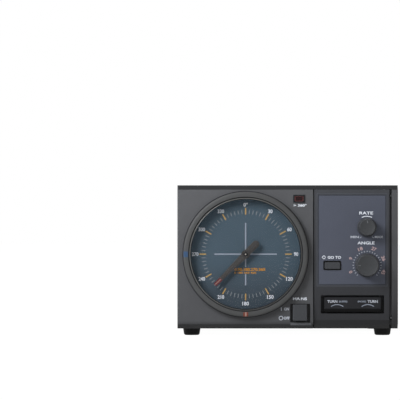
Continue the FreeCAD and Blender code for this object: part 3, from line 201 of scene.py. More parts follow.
class Finishes(bpy.types.PropertyGroup):
    """Colours of the main finishes."""
    bezel: colour("Bezel", "Moulded ABS of the front", "#505051")
    # Darker than the bezel as painted shade; the surround is the same plastic
    surround: colour("Surround", "Moulded ABS of the right-hand section", "#3b3c3f")
    plate: colour("Plate", "Enamel of the control plate", "#4b4e58")
    cover: colour("Cover", "Textured enamel of the cover", "#3c3d3e")
    ring: colour("Ring", "Satin ABS of the turning ring", "#434342")
    dial: colour("Dial", "Matt enamel of the dial", "#404f59")
    knob: colour("Knobs", "Satin ABS of the knobs", "#3a3b3c")
    key: colour("Key", "Black ABS of the direction key", "#28282a")
    ink: colour("White print", "White screen print", "#dcdfe3")
    scale_ink: colour("Orange print", "Orange screen print", "#b5924f")


class StageSettings(bpy.types.PropertyGroup):
    """Camera and lamps."""
    distance: FloatProperty(name="Camera distance", default=3.0, unit="LENGTH",
                            description="From the front face to the camera")
    field: FloatProperty(name="Field width", default=0.36264, unit="LENGTH",
                         description="Width of the view at the front face")
    view_x: length("Camera side", "Camera position along X", -79.5)
    view_z: length("Camera height", "Camera height over the floor", 123.15)
    key: FloatProperty(name="Key lamp", description="Lamp at the upper left", default=5.0,
                       unit="POWER")
    fill: FloatProperty(name="Fill lamp", description="Lamp at the upper right", default=1.4,
                        unit="POWER")
    sky: FloatProperty(name="Sky", description="Strength of the light from all round", default=0.34)


# ----- shaders

def add_node(tree, kind, settings):
    """Add a node. A key names a property or an input, or is an input's number.

    A value that is another node's socket is linked."""
    made = tree.nodes.new(kind)
    for key, value in settings.items():
        if isinstance(key, str) and key not in made.inputs:
            setattr(made, key, value)
        elif isinstance(value, bpy.types.NodeSocket):
            tree.links.new(value, made.inputs[key])
        else:
            made.inputs[key].default_value = value
    return made


def new_material(name):
    """An empty node material."""
    made = bpy.data.materials.new(name)
    made.use_nodes = True
    made.node_tree.nodes.clear()
    return made


def object_place(tree):
    """Place on the object in metres."""
    return add_node(tree, "ShaderNodeTexCoord", {}).outputs["Object"]


def ranged(tree, value, low, high, to_low=0.0, to_high=1.0):
    """A value of one range mapped to another."""
    return add_node(tree, "ShaderNodeMapRange", {
        "Value": value, "From Min": low, "From Max": high, "To Min": to_low,
        "To Max": to_high}).outputs[0]


def mixed(tree, share, first, second, blend="MIX"):
    """Two colours mixed; a mix node takes them at inputs 6 and 7."""
    return add_node(tree, "ShaderNodeMix", {
        "data_type": "RGBA", "blend_type": blend, 0: share, 6: first, 7: second}).outputs[2]


def bumped(tree, height, relief):
    """A normal that follows a height, with its relief in millimetres."""
    return add_node(tree, "ShaderNodeBump", {
        "Height": height, "Strength": 1.0, "Distance": relief * MM}).outputs[0]


def cover_with(tree, settings):
    """End a material in a principled surface."""
    skin = add_node(tree, "ShaderNodeBsdfPrincipled", settings)
    add_node(tree, "ShaderNodeOutputMaterial", {"Surface": skin.outputs[0]})


def finish(name, base, rough, grain, relief, metal=0.0, ior=1.5, mottle=12.0, spread=0.08,
           stretch=(1, 1, 1), shine=0.2, edge=None, shade_fades=()):
    """A surface with a fine grain, grain and relief in millimetres, and slow changes of tone.

    The base is a colour or its code. Edge is the tone of the painted shade on chamfers that lean up
    or down. Each fade is painted shade and gives a direction, the millimetres along it where its
    tone is full and where it is gone, and the tone."""
    tree = new_material(name).node_tree
    base = linear(base) if isinstance(base, str) else base
    place = object_place(tree)
    pull = add_node(tree, "ShaderNodeMapping", {"Vector": place, "Scale": stretch}).outputs[0]
    fine = add_node(tree, "ShaderNodeTexNoise", {
        "Vector": pull, "Scale": 1 / (grain * MM), "Detail": 3.0, "Roughness": 0.6}).outputs["Fac"]
    slow = add_node(tree, "ShaderNodeTexNoise", {
        "Vector": place, "Scale": 1 / (mottle * MM), "Detail": 2.0}).outputs["Fac"]
    dark = tuple(c * (1 - spread) for c in base[:3]) + (1,)
    pale = tuple(min(1, c * (1 + spread)) for c in base[:3]) + (1,)
    speck = ranged(tree, fine, *NOISE, 1 - SPECK, 1 + SPECK)
    toned = mixed(tree, 1.0, mixed(tree, slow, dark, pale), speck, "MULTIPLY")
    # Painted shade: chamfers that lean up or down take the edge tone
    if edge:
        facing = add_node(tree, "ShaderNodeTexCoord", {}).outputs["Normal"]
        parts = add_node(tree, "ShaderNodeSeparateXYZ", {"Vector": facing}).outputs
        lean = add_node(tree, "ShaderNodeMath", {
            "operation": "MULTIPLY", 0: parts["Y"], 1: parts["Z"]}).outputs[0]
        size = add_node(tree, "ShaderNodeMath", {"operation": "ABSOLUTE", 0: lean}).outputs[0]
        toned = mixed(tree, ranged(tree, size, *SHADE_LEAN), toned, linear(edge))
    # Painted shade: each fade blends its dark tone in along its direction
    for way, full, gone, tone in shade_fades:
        rise = add_node(tree, "ShaderNodeVectorMath", {
            "operation": "DOT_PRODUCT", 0: place, 1: way}).outputs["Value"]
        toned = mixed(tree, ranged(tree, rise, gone * MM, full * MM), toned, linear(tone))
    worn = ranged(tree, fine, *NOISE, max(0, rough - WEAR), min(1, rough + WEAR))
    cover_with(tree, {"Base Color": toned, "Roughness": worn, "Metallic": metal, "IOR": ior,
                      "Specular IOR Level": shine, "Normal": bumped(tree, fine, relief)})


def banded(name, base, other, rough, pitch, across, relief):
    """A surface of stacked sheets or wound tape, with its pitch in millimetres along an axis."""
    tree = new_material(name).node_tree
    # A wave's bands repeat every pi / 10 over its scale
    wave = add_node(tree, "ShaderNodeTexWave", {
        "bands_direction": across, "Vector": object_place(tree),
        "Scale": math.pi / 10 / (pitch * MM), "Distortion": 0.6, "Detail": 2.0}).outputs["Fac"]
    cover_with(tree, {"Base Color": mixed(tree, wave, linear(base), linear(other)),
                      "Roughness": rough, "Normal": bumped(tree, wave, relief)})


def window_material():
    """Clear acrylic: a thin sheet that shows as little more than a faint gloss."""
    tree = new_material("Clear acrylic sheet").node_tree
    haze = add_node(tree, "ShaderNodeTexNoise", {
        "Vector": object_place(tree), "Scale": 1 / (25 * MM)}).outputs["Fac"]
    cover_with(tree, {"Base Color": linear("#20262b"), "IOR": 1.49, "Alpha": 0.04,
                      "Roughness": ranged(tree, haze, 0.0, 1.0, 0.02, 0.08)})


def board_material():
    """Glass-epoxy board under green lacquer, with copper tracks showing paler through it."""
    tree = new_material("Lacquered glass-epoxy board").node_tree
    track = add_node(tree, "ShaderNodeTexBrick", {
        "Vector": object_place(tree), "Scale": 1 / (8 * MM), "Mortar Size": 0.06,
        "Brick Width": 1.7, "Row Height": 0.4, "Color1": linear("#1f4a2c"),
        "Color2": linear("#24553a"), "Mortar": linear("#3f7a4e")}).outputs
    cover_with(tree, {"Base Color": track["Color"], "Roughness": 0.32, "IOR": 1.52,
                      "Normal": bumped(tree, track["Fac"], 0.05)})


def make_finishes(wish):
    """Every material of the controller, by name."""
    # Spark-eroded ABS: an even satin grain, drawn a little coarse so that it shows
    # The fades and the edge tone are painted shade: the moulding darkens towards the bottom, along
    # its foot and in the lower right corner, and on the chamfers that lean up or down
    finish("Spark-eroded ABS, mid grey", wish.bezel, 0.52, 0.7, 0.035, ior=1.53, edge="#1d1d1e",
           shade_fades=((UP, -250.0, 150.0, "#262627"), (UP, 9.0, 13.5, "#222223"),
                  (CORNER, -104.0, -62.0, "#222223")))
    # Painted shade: the surround is the bezel's plastic, drawn a darker grey for the light that
    # falls off to the lower right; its fades darken it towards the bottom and at its foot
    finish("Spark-eroded ABS, shaded dark grey", wish.surround, 0.52, 0.7, 0.035, ior=1.53,
           shade_fades=((UP, 8.0, 128.0, "#29292b"), (UP, 13.9, 14.7, "#19191a")))
    finish("Spark-eroded ABS, ledge grey", "#4e4e50", 0.5, 0.7, 0.03, ior=1.53)
    # Painted highlight: the pale line on the step round the plate
    finish("Painted highlight, line grey", "#45474c", 0.5, 0.7, 0.03, ior=1.53)
    # Painted shade: dark lines for the shadow under the fold and in the gap round the ring
    finish("Painted shade, black line", "#1b1b1e", 0.6, 0.7, 0.03, ior=1.53)
    # Baked enamel on aluminium: flat and even, with a very fine orange peel
    # Painted shade: the dark line along the plate's edge
    finish("Painted shade, plate edge", "#303237", 0.6, 0.7, 0.02)
    finish("Baked enamel, blue-grey", wish.plate, 0.5, 0.9, 0.02, mottle=20, spread=0.06)
    # Painted shade: the dial's fade darkens it towards the bottom
    finish("Baked matt enamel, dial blue", wish.dial, 0.62, 0.3, 0.003, mottle=25, spread=0.05,
           shade_fades=((UP, 38.0, 66.0, "#38424a"),))
    # Powder-coated steel: a pebbled texture about a millimetre across
    finish("Powder-coated steel, dark grey", wish.cover, 0.55, 1.0, 0.09, mottle=30)
    # Satin ABS: moulded in a polished tool, so edges carry a soft highlight
    finish("Satin ABS, ring grey", wish.ring, 0.5, 0.8, 0.015, ior=1.53)
    finish("Satin ABS, knob grey", wish.knob, 0.42, 0.7, 0.025, ior=1.53)
    # Painted shade: the key's fades darken a band along its foot and one under its top edge, where
    # the recess shades it
    finish("Satin ABS, key black", wish.key, 0.4, 0.8, 0.02, ior=1.53, shine=0.08,
           shade_fades=((UP, 24.2, 25.0, "#060607"), (UP, 34.6, 34.2, "#222224")))
    finish("Satin ABS, button grey", "#3a3b3d", 0.45, 0.7, 0.025, ior=1.53)
    finish("Moulded ABS, black", "#121214", 0.45, 0.8, 0.02, ior=1.53)
    finish("Moulded ABS, sleeve black", "#121518", 0.7, 0.8, 0.02, ior=1.53)
    finish("Lacquered aluminium, pointer grey", "#3c3937", 0.5, 0.3, 0.003)
    # Nitrile rubber: dull, nearly black, a little dusty
    finish("Nitrile rubber, black", "#0a0a0a", 0.75, 0.6, 0.04, spread=0.25, mottle=5)
    # Zinc-plated steel: soft spangles and a rolling direction
    finish("Zinc-plated steel", "#a9abac", 0.38, 1.5, 0.01, metal=1, shine=0.5,
           stretch=(1, 0.12, 1), mottle=8, spread=0.12)
    finish("Blackened steel", "#0e0e0f", 0.4, 0.6, 0.01, mottle=4)
    finish("Nickel-plated steel", "#b9b6ae", 0.22, 1.2, 0.005, metal=1, shine=0.5, mottle=10)
    finish("Turned brass", "#b08d4c", 0.3, 0.6, 0.01, metal=1, shine=0.5, stretch=(1, 0.2, 1))
    # Extruded aluminium: fine die lines along its length
    finish("Extruded aluminium", "#b4b6b8", 0.35, 0.8, 0.02, metal=1, shine=0.5,
           stretch=(1, 0.05, 1))
    finish("Natural nylon", "#cfcabb", 0.45, 1.0, 0.01, ior=1.53, mottle=6, spread=0.05)
    finish("Translucent acrylic, lamp red", "#1c0608", 0.25, 1.0, 0.01, ior=1.49, mottle=2,
           spread=0.3)
    finish("Painted trim, lamp rim", "#5a3130", 0.4, 0.8, 0.01)
    finish("Polished lip, grey", "#5a5a57", 0.3, 0.8, 0.01, shine=0.6)
    banded("Varnished core laminations", "#1c1c1f", "#38383c", 0.4, 0.9, "Y", 0.05)
    banded("Winding tape, amber", "#7d5a1e", "#a07a30", 0.35, 3.0, "Z", 0.15)
    banded("Electrolytic can sleeve", "#101418", "#191e24", 0.3, 9.0, "X", 0.0)
    board_material()
    window_material()
    # Screen print and paint: thin even films
    finish("Screen print, white", wish.ink, 0.6, 0.5, 0.005, mottle=3, spread=0.05)
    finish("Screen print, orange", wish.scale_ink, 0.6, 0.5, 0.005, mottle=3, spread=0.06)
    for name, code in (
            ("pale grey", "#b9bcc2"), ("rose", "#b39a98"), ("dim white", "#8d939d"),
            ("tick grey", "#777c7e"), ("deep orange", "#b87f18"), ("knob grey", "#6d6e70")):
        finish("Screen print, " + name, code, 0.6, 0.5, 0.005, mottle=3)
    for name, code, rough in (
            ("blue", "#2e4560", 0.45), ("vermilion", "#6c3528", 0.45), ("red", "#5e292d", 0.45),
            ("cream", "#93756a", 0.5)):
        finish("Paint fill, " + name, code, rough, 0.5, 0.005, mottle=3)


# Finish of each node that the frame gives
DRESS = {
    "Spark-eroded ABS, mid grey": ("front_bezel",),
    "Spark-eroded ABS, shaded dark grey": ("panel_surround",),
    "Baked enamel, blue-grey": ("control_plate",),
    "Baked matt enamel, dial blue": ("dial_plate",),
    "Powder-coated steel, dark grey": ("top_cover", "rear_panel"),
    "Satin ABS, key black": ("direction_rocker",),
    "Satin ABS, button grey": ("power_button", "start_button"),
    "Moulded ABS, black": (
        "meter_housing", "start_switch", "rocker_switches", "power_switch", "mains_inlet",
        "fuse_holder", "fuse_cap", "remote_socket", "dc_socket", "relays", "power_transistors",
        "lamp_frame", "feedback_pot", "speed_pot", "preset_pot"),
    "Moulded ABS, sleeve black": ("dial_sleeve",),
    "Nitrile rubber, black": ("feet",),
    "Zinc-plated steel": (
        "bottom_chassis", "side_rails", "movement_plate", "case_screws", "moulding_screws",
        "chassis_screws", "foot_screws"),
    "Nickel-plated steel": (
        "pointer_shaft", "rocker_pin", "speed_shaft", "preset_shaft", "servo_motor",
        "motor_pinion", "rotator_socket"),
    "Blackened steel": ("needle_screw",),
    "Turned brass": ("pointer_bushes", "inlet_pins", "board_standoffs", "ground_terminal"),
    "Extruded aluminium": ("heat_sink",),
    "Natural nylon": ("pointer_gear", "pot_gear"),
    "Translucent acrylic, lamp red": ("lamp_lens",),
    "Varnished core laminations": ("transformer_core",),
    "Winding tape, amber": ("transformer_windings",),
    "Electrolytic can sleeve": ("filter_capacitors",),
    "Lacquered glass-epoxy board": ("main_board", "control_board"),
    "Clear acrylic sheet": ("meter_lens",),
}


# ----- shapes

def bearing(radius, degrees, depth=0.0):
    """Offset from a dial's middle: zero is up and the bearings count clockwise."""
    turn = math.radians(degrees)
    return Vector((radius * math.sin(turn), depth, radius * math.cos(turn)))


def band(inner, outer, front, back):
    """Closed profile of a flat ring."""
    return [(inner, front), (outer, front), (outer, back), (inner, back), (inner, front)]


def turned(shape, profile, centre, steps, start=0.0, sweep=360.0):
    """Spin a profile of radius and depth pairs round an axis along Y; a first repeat closes it."""
    closed = profile[0] == profile[-1]
    dots = profile[:-1] if closed else profile
    verts = [shape.verts.new(centre + bearing(r, start, y)) for r, y in dots]
    pairs = zip(verts, verts[1:] + verts[:1]) if closed else zip(verts, verts[1:])
    edges = [shape.edges.new(pair) for pair in pairs]
    bmesh.ops.spin(shape, geom=verts + edges, cent=centre, axis=INWARDS, dvec=(0, 0, 0),
                   angle=math.radians(sweep), steps=steps, use_merge=sweep == 360.0,
                   use_duplicate=False)


def tidy(shape):
    """Merge doubles and turn every face outwards."""
    bmesh.ops.remove_doubles(shape, verts=shape.verts, dist=MERGE)
    bmesh.ops.recalc_face_normals(shape, faces=shape.faces)


def soften(shape, size, segments, picked):
    """Round the edges that the test picks."""
    edges = [edge for edge in shape.edges if picked(edge)]
    bmesh.ops.bevel(shape, geom=edges, offset=size, offset_type="OFFSET", segments=segments,
                    profile=0.5, affect="EDGES", material=-1, clamp_overlap=True)


def paint(faces, finish_number):
    """Give faces one of their piece's finishes."""
    for face in faces:
        face.material_index = finish_number


def add_bar(shape, width, depth, height, centre, degrees=0.0, finish_number=0):
    """A small bar whose height points along a bearing."""
    place = Matrix.Translation(centre) @ Matrix.Rotation(math.radians(degrees), 4, "Y")
    size = Matrix.Diagonal((width, depth, height, 1))
    made = bmesh.ops.create_cube(shape, size=1, matrix=place @ size)["verts"]
    paint({face for vert in made for face in vert.link_faces}, finish_number)


def add_arc(shape, centre, radius, width, start, sweep, finish_number=0):
    """A thin printed arc round a centre."""
    old = set(shape.faces)
    profile = band(radius - width / 2, radius + width / 2, -INK / 2, INK / 2)
    turned(shape, profile, centre, max(6, int(abs(sweep) / 5)), start, sweep)
    rims = [edge for edge in shape.edges if edge.is_boundary]
    bmesh.ops.holes_fill(shape, edges=rims, sides=4)
    paint(set(shape.faces) - old, finish_number)


def add_words(shape, words, height, centre, width, degrees=0.0, finish_number=0):
    """Raised letters that face the front, with their cap height and their width."""
    text = bpy.data.curves.new("words", "FONT")
    text.body = words
    text.resolution_u = 3
    text.extrude = 0.5
    text.offset = BOLDER
    stamp = bpy.data.objects.new("words", text)
    flat = bpy.data.meshes.new_from_object(stamp)
    low = [min(vert.co[i] for vert in flat.vertices) for i in (0, 1)]
    high = [max(vert.co[i] for vert in flat.vertices) for i in (0, 1)]
    centred = Matrix.Translation((-(low[0] + high[0]) / 2, -(low[1] + high[1]) / 2, 0))
    size = Matrix.Diagonal((width / (high[0] - low[0]), height / (high[1] - low[1]), INK, 1))
    stand = Matrix.Rotation(math.radians(90), 4, "X")
    turn = Matrix.Rotation(math.radians(degrees), 4, "Y")
    flat.transform(Matrix.Translation(centre) @ turn @ stand @ size @ centred)
    old = set(shape.faces)
    shape.from_mesh(flat)
    paint(set(shape.faces) - old, finish_number)
    bpy.data.objects.remove(stamp)
    bpy.data.curves.remove(text)
    bpy.data.meshes.remove(flat)


def add_caption(shape, rows, ahead=0.0):
    """Level words from rows, raised by some millimetres.

    A row gives the text, the place that it belongs to, the millimetres right of it and up, the
    cap height and the width in millimetres, and the number of the finish."""
    for words, place, right, up, height, width, finish_number in rows:
        add_words(shape, words, height * MM, spot(place, right, up, ahead), width * MM, 0,
                  finish_number)


def press_on(shape, carrier):
    """Lay print on the face of its carrier, so that it follows any slope or round."""
    for vert in shape.verts:
        start = Vector((vert.co.x, FOREMOST - 1, vert.co.z))
        hit, place = carrier.ray_cast(start, INWARDS)[:2]
        if not hit:
            raise RuntimeError(f"the print runs off {carrier.name} at {tuple(vert.co)}")
        vert.co.y = place.y - INK / 3 + vert.co.y


def make_piece(name, shape, finishes, body, stands_for=(), smooth=None):
    """Make a bmesh an object at the origin that rides on a body."""
    mesh = bpy.data.meshes.new(name)
    shape.to_mesh(mesh)
    shape.free()
    for each in finishes:
        mesh.materials.append(bpy.data.materials[each])
    if smooth is not None:
        mesh.shade_smooth()
        mesh.set_sharp_from_angle(angle=math.radians(smooth))
    piece = bpy.data.objects.new(name, mesh)
    bpy.context.scene.collection.objects.link(piece)
    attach(piece, body)
    if stands_for:
        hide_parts(*stands_for)
    return piece


# ----- operators

class CONTROLLER_OT_finishes(bpy.types.Operator):
    """Make every finish and give the frame's nodes theirs"""
    bl_idname = "controller.finishes"
    bl_label = "Finishes"

    def execute(self, context):
        make_finishes(context.scene.controller_finishes)
        for name, names in DRESS.items():
            for node in names:
                for slot in nodes[node].material_slots:
                    slot.material = bpy.data.materials[name]
        return {"FINISHED"}


class CONTROLLER_OT_ring(bpy.types.Operator):
    """Turning ring of the meter with its two marks"""
    bl_idname = "controller.ring"
    bl_label = "Meter ring"

    def execute(self, context):
        sizes = context.scene.controller_meter
        low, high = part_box("meter_ring")
        rim = (high.x - low.x) / 2
        outer = rim - sizes.ring_inset
        inner = outer - sizes.ring_face
        bore = rim - sizes.ring_wall
        lip = low.y + sizes.ring_lip
        shape = bmesh.new()
        # The face reaches inwards over the front of the meter's spigot, with play behind it
        turned(shape, [(inner, low.y), (outer, low.y + sizes.ring_slope), (outer, high.y),
                       (bore, high.y), (bore, lip), (inner, lip), (inner, low.y)],
               METER, LARGE_STEPS)
        tidy(shape)

        def on_rim(edge, radius):
            return all(vert.co.y < low.y + sizes.ring_slope + NEAR
                       and abs((vert.co - METER).xz.length - radius) < NEAR
                       for vert in edge.verts)

        soften(shape, sizes.ring_round, 5, lambda edge: on_rim(edge, outer))
        soften(shape, sizes.bore_round, 2, lambda edge: on_rim(edge, inner))
        ring = make_piece("turning_ring", shape, ["Satin ABS, ring grey"], "meter_ring",
                          ["meter_ring"], 40)
        context.view_layer.update()
        marks = bmesh.new()
        # Filled grooves across the ring: the end of the travel, and its start with a pale line
        first = inner + sizes.bore_round
        last = outer - 0.25 * MM
        steps = 9
        radii = [first + (last - first) * i / steps for i in range(steps + 1)]
        for number, width, degrees in (
                (0, sizes.end_mark, TRAVEL_END), (1, sizes.start_mark, TRAVEL_START),
                (2, sizes.start_mark / 3, TRAVEL_START)):
            wide = math.degrees(width / outer)
            # Each mark lies just ahead of the last one
            rise = -0.04 * MM * number
            old = set(marks.faces)
            turned(marks, [(r, rise) for r in radii], METER, 5, degrees - wide / 2, wide)
            paint(set(marks.faces) - old, number)
        press_on(marks, ring)
        tidy(marks)
        for face in marks.faces:
            if face.normal.y > 0:
                face.normal_flip()
        made = make_piece(
            "ring_marks", marks, ["Paint fill, blue", "Paint fill, vermilion", "Paint fill, cream"],
            "meter_ring")
        film = made.modifiers.new("film", "SOLIDIFY")
        film.thickness = FILM
        film.offset = 0
        return {"FINISHED"}


class CONTROLLER_OT_lip(bpy.types.Operator):
    """Bright rounded lip round the meter's window"""
    bl_idname = "controller.lip"
    bl_label = "Window lip"

    def execute(self, context):
        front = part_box("meter_housing")[0].y
        shape = bmesh.new()
        # A low ridge that reaches inwards from the spigot's bevel over the window's edge
        profile = [(50.2, 0.9), (50.2, -0.6), (51.3, 0.1), (51.3, 0.2), (50.6, 0.9), (50.2, 0.9)]
        turned(shape, [(r * MM, front + y * MM) for r, y in profile], METER, LARGE_STEPS)
        tidy(shape)
        make_piece("window_lip", shape, ["Polished lip, grey"], "case", (), 40)
        return {"FINISHED"}


class CONTROLLER_OT_dial_print(bpy.types.Operator):
    """Bearings, marks and cross lines on the dial"""
    bl_idname = "controller.dial_print"
    bl_label = "Dial print"

    def execute(self, context):
        sizes = context.scene.controller_meter
        carrier = nodes["dial_plate"]
        marks = bmesh.new()
        lines = []
        for degrees in range(0, 360, sizes.short_step):
            major = degrees % sizes.number_step == 0
            lines.append((degrees, sizes.long_from, sizes.long_to, sizes.long_width, 0) if major
                         else (degrees, sizes.short_from, sizes.short_to, sizes.short_width, 1))
        # The cross starts outside the hub, and its lower line stops for the caption
        spans = [(degrees, sizes.cross_from, sizes.cross_reach) for degrees in (0, 90, 270)]
        spans += [(180, sizes.cross_from, sizes.caption_top),
                  (180, sizes.caption_foot, sizes.cross_reach)]
        lines += [span + (sizes.cross_width, 2) for span in spans]
        for degrees, start, end, width, number in lines:
            add_bar(marks, width, INK, end - start, METER + bearing((start + end) / 2, degrees),
                    degrees, number)
        # Plain numbers of the travel in place of the printed words
        add_caption(marks, (
            ("0.90.180.270.360", METER, 3.8, -13.9, 2.8, 28, 3),
            ("0 180 360 450", METER, -0.4, -16.9, 1.7, 20, 3)), 0.03)
        press_on(marks, carrier)
        make_piece("dial_marks", marks, [
            "Screen print, orange", "Screen print, tick grey", "Screen print, dim white",
            "Screen print, deep orange"], "case")
        numbers = bmesh.new()
        for degrees in range(0, 360, sizes.number_step):
            words = f"{degrees}" if degrees else "0°"
            # Left, middle or right, and 30 degrees off the vertical is still the middle
            side = round(0.99 * math.sin(math.radians(degrees)))
            place = METER + Vector((side * sizes.number_shift, 0, 0))
            add_words(numbers, words, sizes.number_height,
                      place + bearing(sizes.number_radius, degrees),
                      sizes.number_width * len(words))
        press_on(numbers, carrier)
        make_piece("dial_numbers", numbers, ["Screen print, white"], "case")
        return {"FINISHED"}


class CONTROLLER_OT_needle(bpy.types.Operator):
    """Needle with its painted tip and its hub"""
    bl_idname = "controller.needle"
    bl_label = "Needle"

    def execute(self, context):
        sizes = context.scene.controller_needle
        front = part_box("needle")[0].y
        # The needle is made pointing up and then turned
        outline = [(sizes.tip, sizes.reach), (sizes.root, 0)]
        for degrees in range(0, 181, 15):
            round_end = bearing(sizes.tail_round, degrees + 90)
            outline.append((round_end.x, round_end.z - sizes.tail))
        outline += [(-sizes.root, 0), (-sizes.tip, sizes.reach)]
        shape = bmesh.new()
        face = shape.faces.new([shape.verts.new((x, front, z)) for x, z in outline])
        grown = bmesh.ops.extrude_face_region(shape, geom=[face])["geom"]
        bmesh.ops.translate(shape, verts=[g for g in grown if isinstance(g, bmesh.types.BMVert)],
                            vec=(0, sizes.thick, 0))
        tidy(shape)
        soften(shape, 0.18 * MM, 2, lambda e: all(v.co.y < front + MERGE for v in e.verts))
        # Hub with a raised rim, a floor round the screw and the shaft's bright end
        rise = sizes.hub_rise
        for inner, outer, ahead in (
                (sizes.hub_inner, sizes.hub_outer, rise), (2.1 * MM, sizes.hub_inner, 0.06 * MM)):
            turned(shape, band(inner, outer, front - ahead, front + rise), ORIGIN, SMALL_STEPS)
        old = set(shape.faces)
        shaft = 0.6 * MM
        turned(shape, [
            (0, front - 0.72 * MM), (shaft, front - 0.72 * MM), (shaft, front - 0.5 * MM),
            (0, front - 0.5 * MM)], ORIGIN, SMALL_STEPS // 2)
        paint(set(shape.faces) - old, 3)
        tidy(shape)
        # Paint round the tip and a pale line on it, a painted highlight along the tip's ridge:
        # width, depth, length, place ahead of the face
        tip = Vector((0, front, sizes.reach - sizes.paint_length / 2))
        paint_long = sizes.paint_length / MM
        for wide, deep, long, ahead, number in (
                (3.4, 1.0, paint_long, -0.4, 1), (0.7, 0.2, paint_long - 0.7, 0.12, 2)):
            add_bar(shape, wide * MM, deep * MM, long * MM, spot(tip, 0, 0, ahead), 0, number)
        place = Matrix.Translation(METER) @ Matrix.Rotation(math.radians(sizes.rest), 4, "Y")
        bmesh.ops.transform(shape, matrix=place, verts=shape.verts)
        make_piece("pointer_needle", shape, [
            "Lacquered aluminium, pointer grey", "Paint fill, red", "Paint fill, cream",
            "Nickel-plated steel"], "pointer", ["needle"], 35)
        return {"FINISHED"}


class CONTROLLER_OT_knobs(bpy.types.Operator):
    """Speed and preset knobs with ribbed skirts and their pointer lines"""
    bl_idname = "controller.knobs"
    bl_label = "Knobs"

    def execute(self, context):
        sizes = context.scene.controller_panel
        for name, mark, taper in (("speed_knob", 0.0, 1.5), ("preset_knob", -90.0, 1.3)):
            low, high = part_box(name)
            base = (high.x - low.x) / 2
            face = base - taper * MM
            centre = axis(name)
            shape = bmesh.new()
            steps = sizes.rib_count * 3
            # Dished face with a rounded rim, tapered skirt with a foot, and the hollow back
            wall = base - 2 * MM
            hollow = low.y + 4 * MM
            turned(shape, [
                (0, low.y + 0.35 * MM), (face - 1.4 * MM, low.y + 0.3 * MM),
                (face - 0.9 * MM, low.y + 0.05 * MM), (face - 0.5 * MM, low.y),
                (face, low.y + 0.5 * MM), (face + 0.15 * MM, low.y + 1.4 * MM),
                (base - 0.1 * MM, high.y - 1.2 * MM), (base, high.y - 1.1 * MM), (base, high.y),
                (wall, high.y), (wall, hollow), (3 * MM, hollow), (0, hollow)], centre, steps)
            tidy(shape)
            # Every third column of the skirt is drawn in
            for vert in shape.verts:
                off = vert.co - centre
                off.y = 0
                side = face < off.length + 1e-6 and low.y + 1 * MM < vert.co.y < high.y - 1.15 * MM
                column = round(math.degrees(math.atan2(off.x, off.z)) / 360 * steps)
                if side and column % 3 == 0:
                    vert.co -= off.normalized() * sizes.rib_depth
            make_piece(name + "_cap", shape, ["Satin ABS, knob grey"], name,
                       [name], 32)
            line = bmesh.new()
            add_bar(line, 0.5 * MM, 0.3 * MM, 2.2 * MM,
                    centre + bearing(face - 2.2 * MM, mark, low.y + 0.2 * MM), mark)
            make_piece(name + "_line", line, ["Screen print, knob grey"], name)
        return {"FINISHED"}


class CONTROLLER_OT_panel_print(bpy.types.Operator):
    """Words, ticks and arcs printed on the plate"""
    bl_idname = "controller.panel_print"
    bl_label = "Plate print"

    def execute(self, context):
        sizes = context.scene.controller_panel
        line = sizes.line_width
        large = sizes.word_height / MM
        small = sizes.small_height / MM
        shape = bmesh.new()
        # The speed knob's word and arc, then the other words
        add_caption(shape, (("RATE", SPEED, -0.6, 13.0, large, 12.6, 0),))
        add_arc(shape, SPEED, 10.1 * MM, 0.8 * MM, -27, 54)
        add_caption(shape, (
            ("MIN", SPEED, -11.0, -8.7, small, 7.6, 1), ("MAX", SPEED, 11.0, -8.7, small, 7.6, 1),
            ("ANGLE", PRESET, -1.0, 20.2, large, 15.6, 0),
            ("GO TO", START, 1.9, 7.3, large - 0.2, 12.2, 0)))
        # Marks at the ends of the speed knob's travel
        for degrees in (-149, 149):
            add_bar(shape, line, INK, 1.5 * MM, SPEED + bearing(10.6 * MM, degrees), degrees, 1)
        # Scale of the preset knob: a number at every fourth tick
        for i in range(-12, 13):
            degrees = i * 11.25
            add_bar(shape, line, INK, sizes.tick_to - sizes.tick_from,
                    PRESET + bearing((sizes.tick_from + sizes.tick_to) / 2, degrees), degrees, 1)
        for i, words in enumerate(("0", "9", "18", "27", "36", "45")):
            degrees = -112.5 + 45 * i
            add_words(shape, words, sizes.scale_height,
                      PRESET + bearing(sizes.scale_radius, degrees), 2.2 * MM * len(words),
                      degrees, 2)
        # Diamond in front of the start button's words
        for turn in (45, 135, 225, 315):
            add_bar(shape, line, INK, 2.7 * MM,
                    spot(START, -7.6, 7.4) + bearing(1.15 * MM, turn), turn + 90)
        press_on(shape, nodes["control_plate"])
        make_piece("plate_print", shape, [
            "Screen print, white", "Screen print, pale grey", "Screen print, rose"],
            "case")
        return {"FINISHED"}


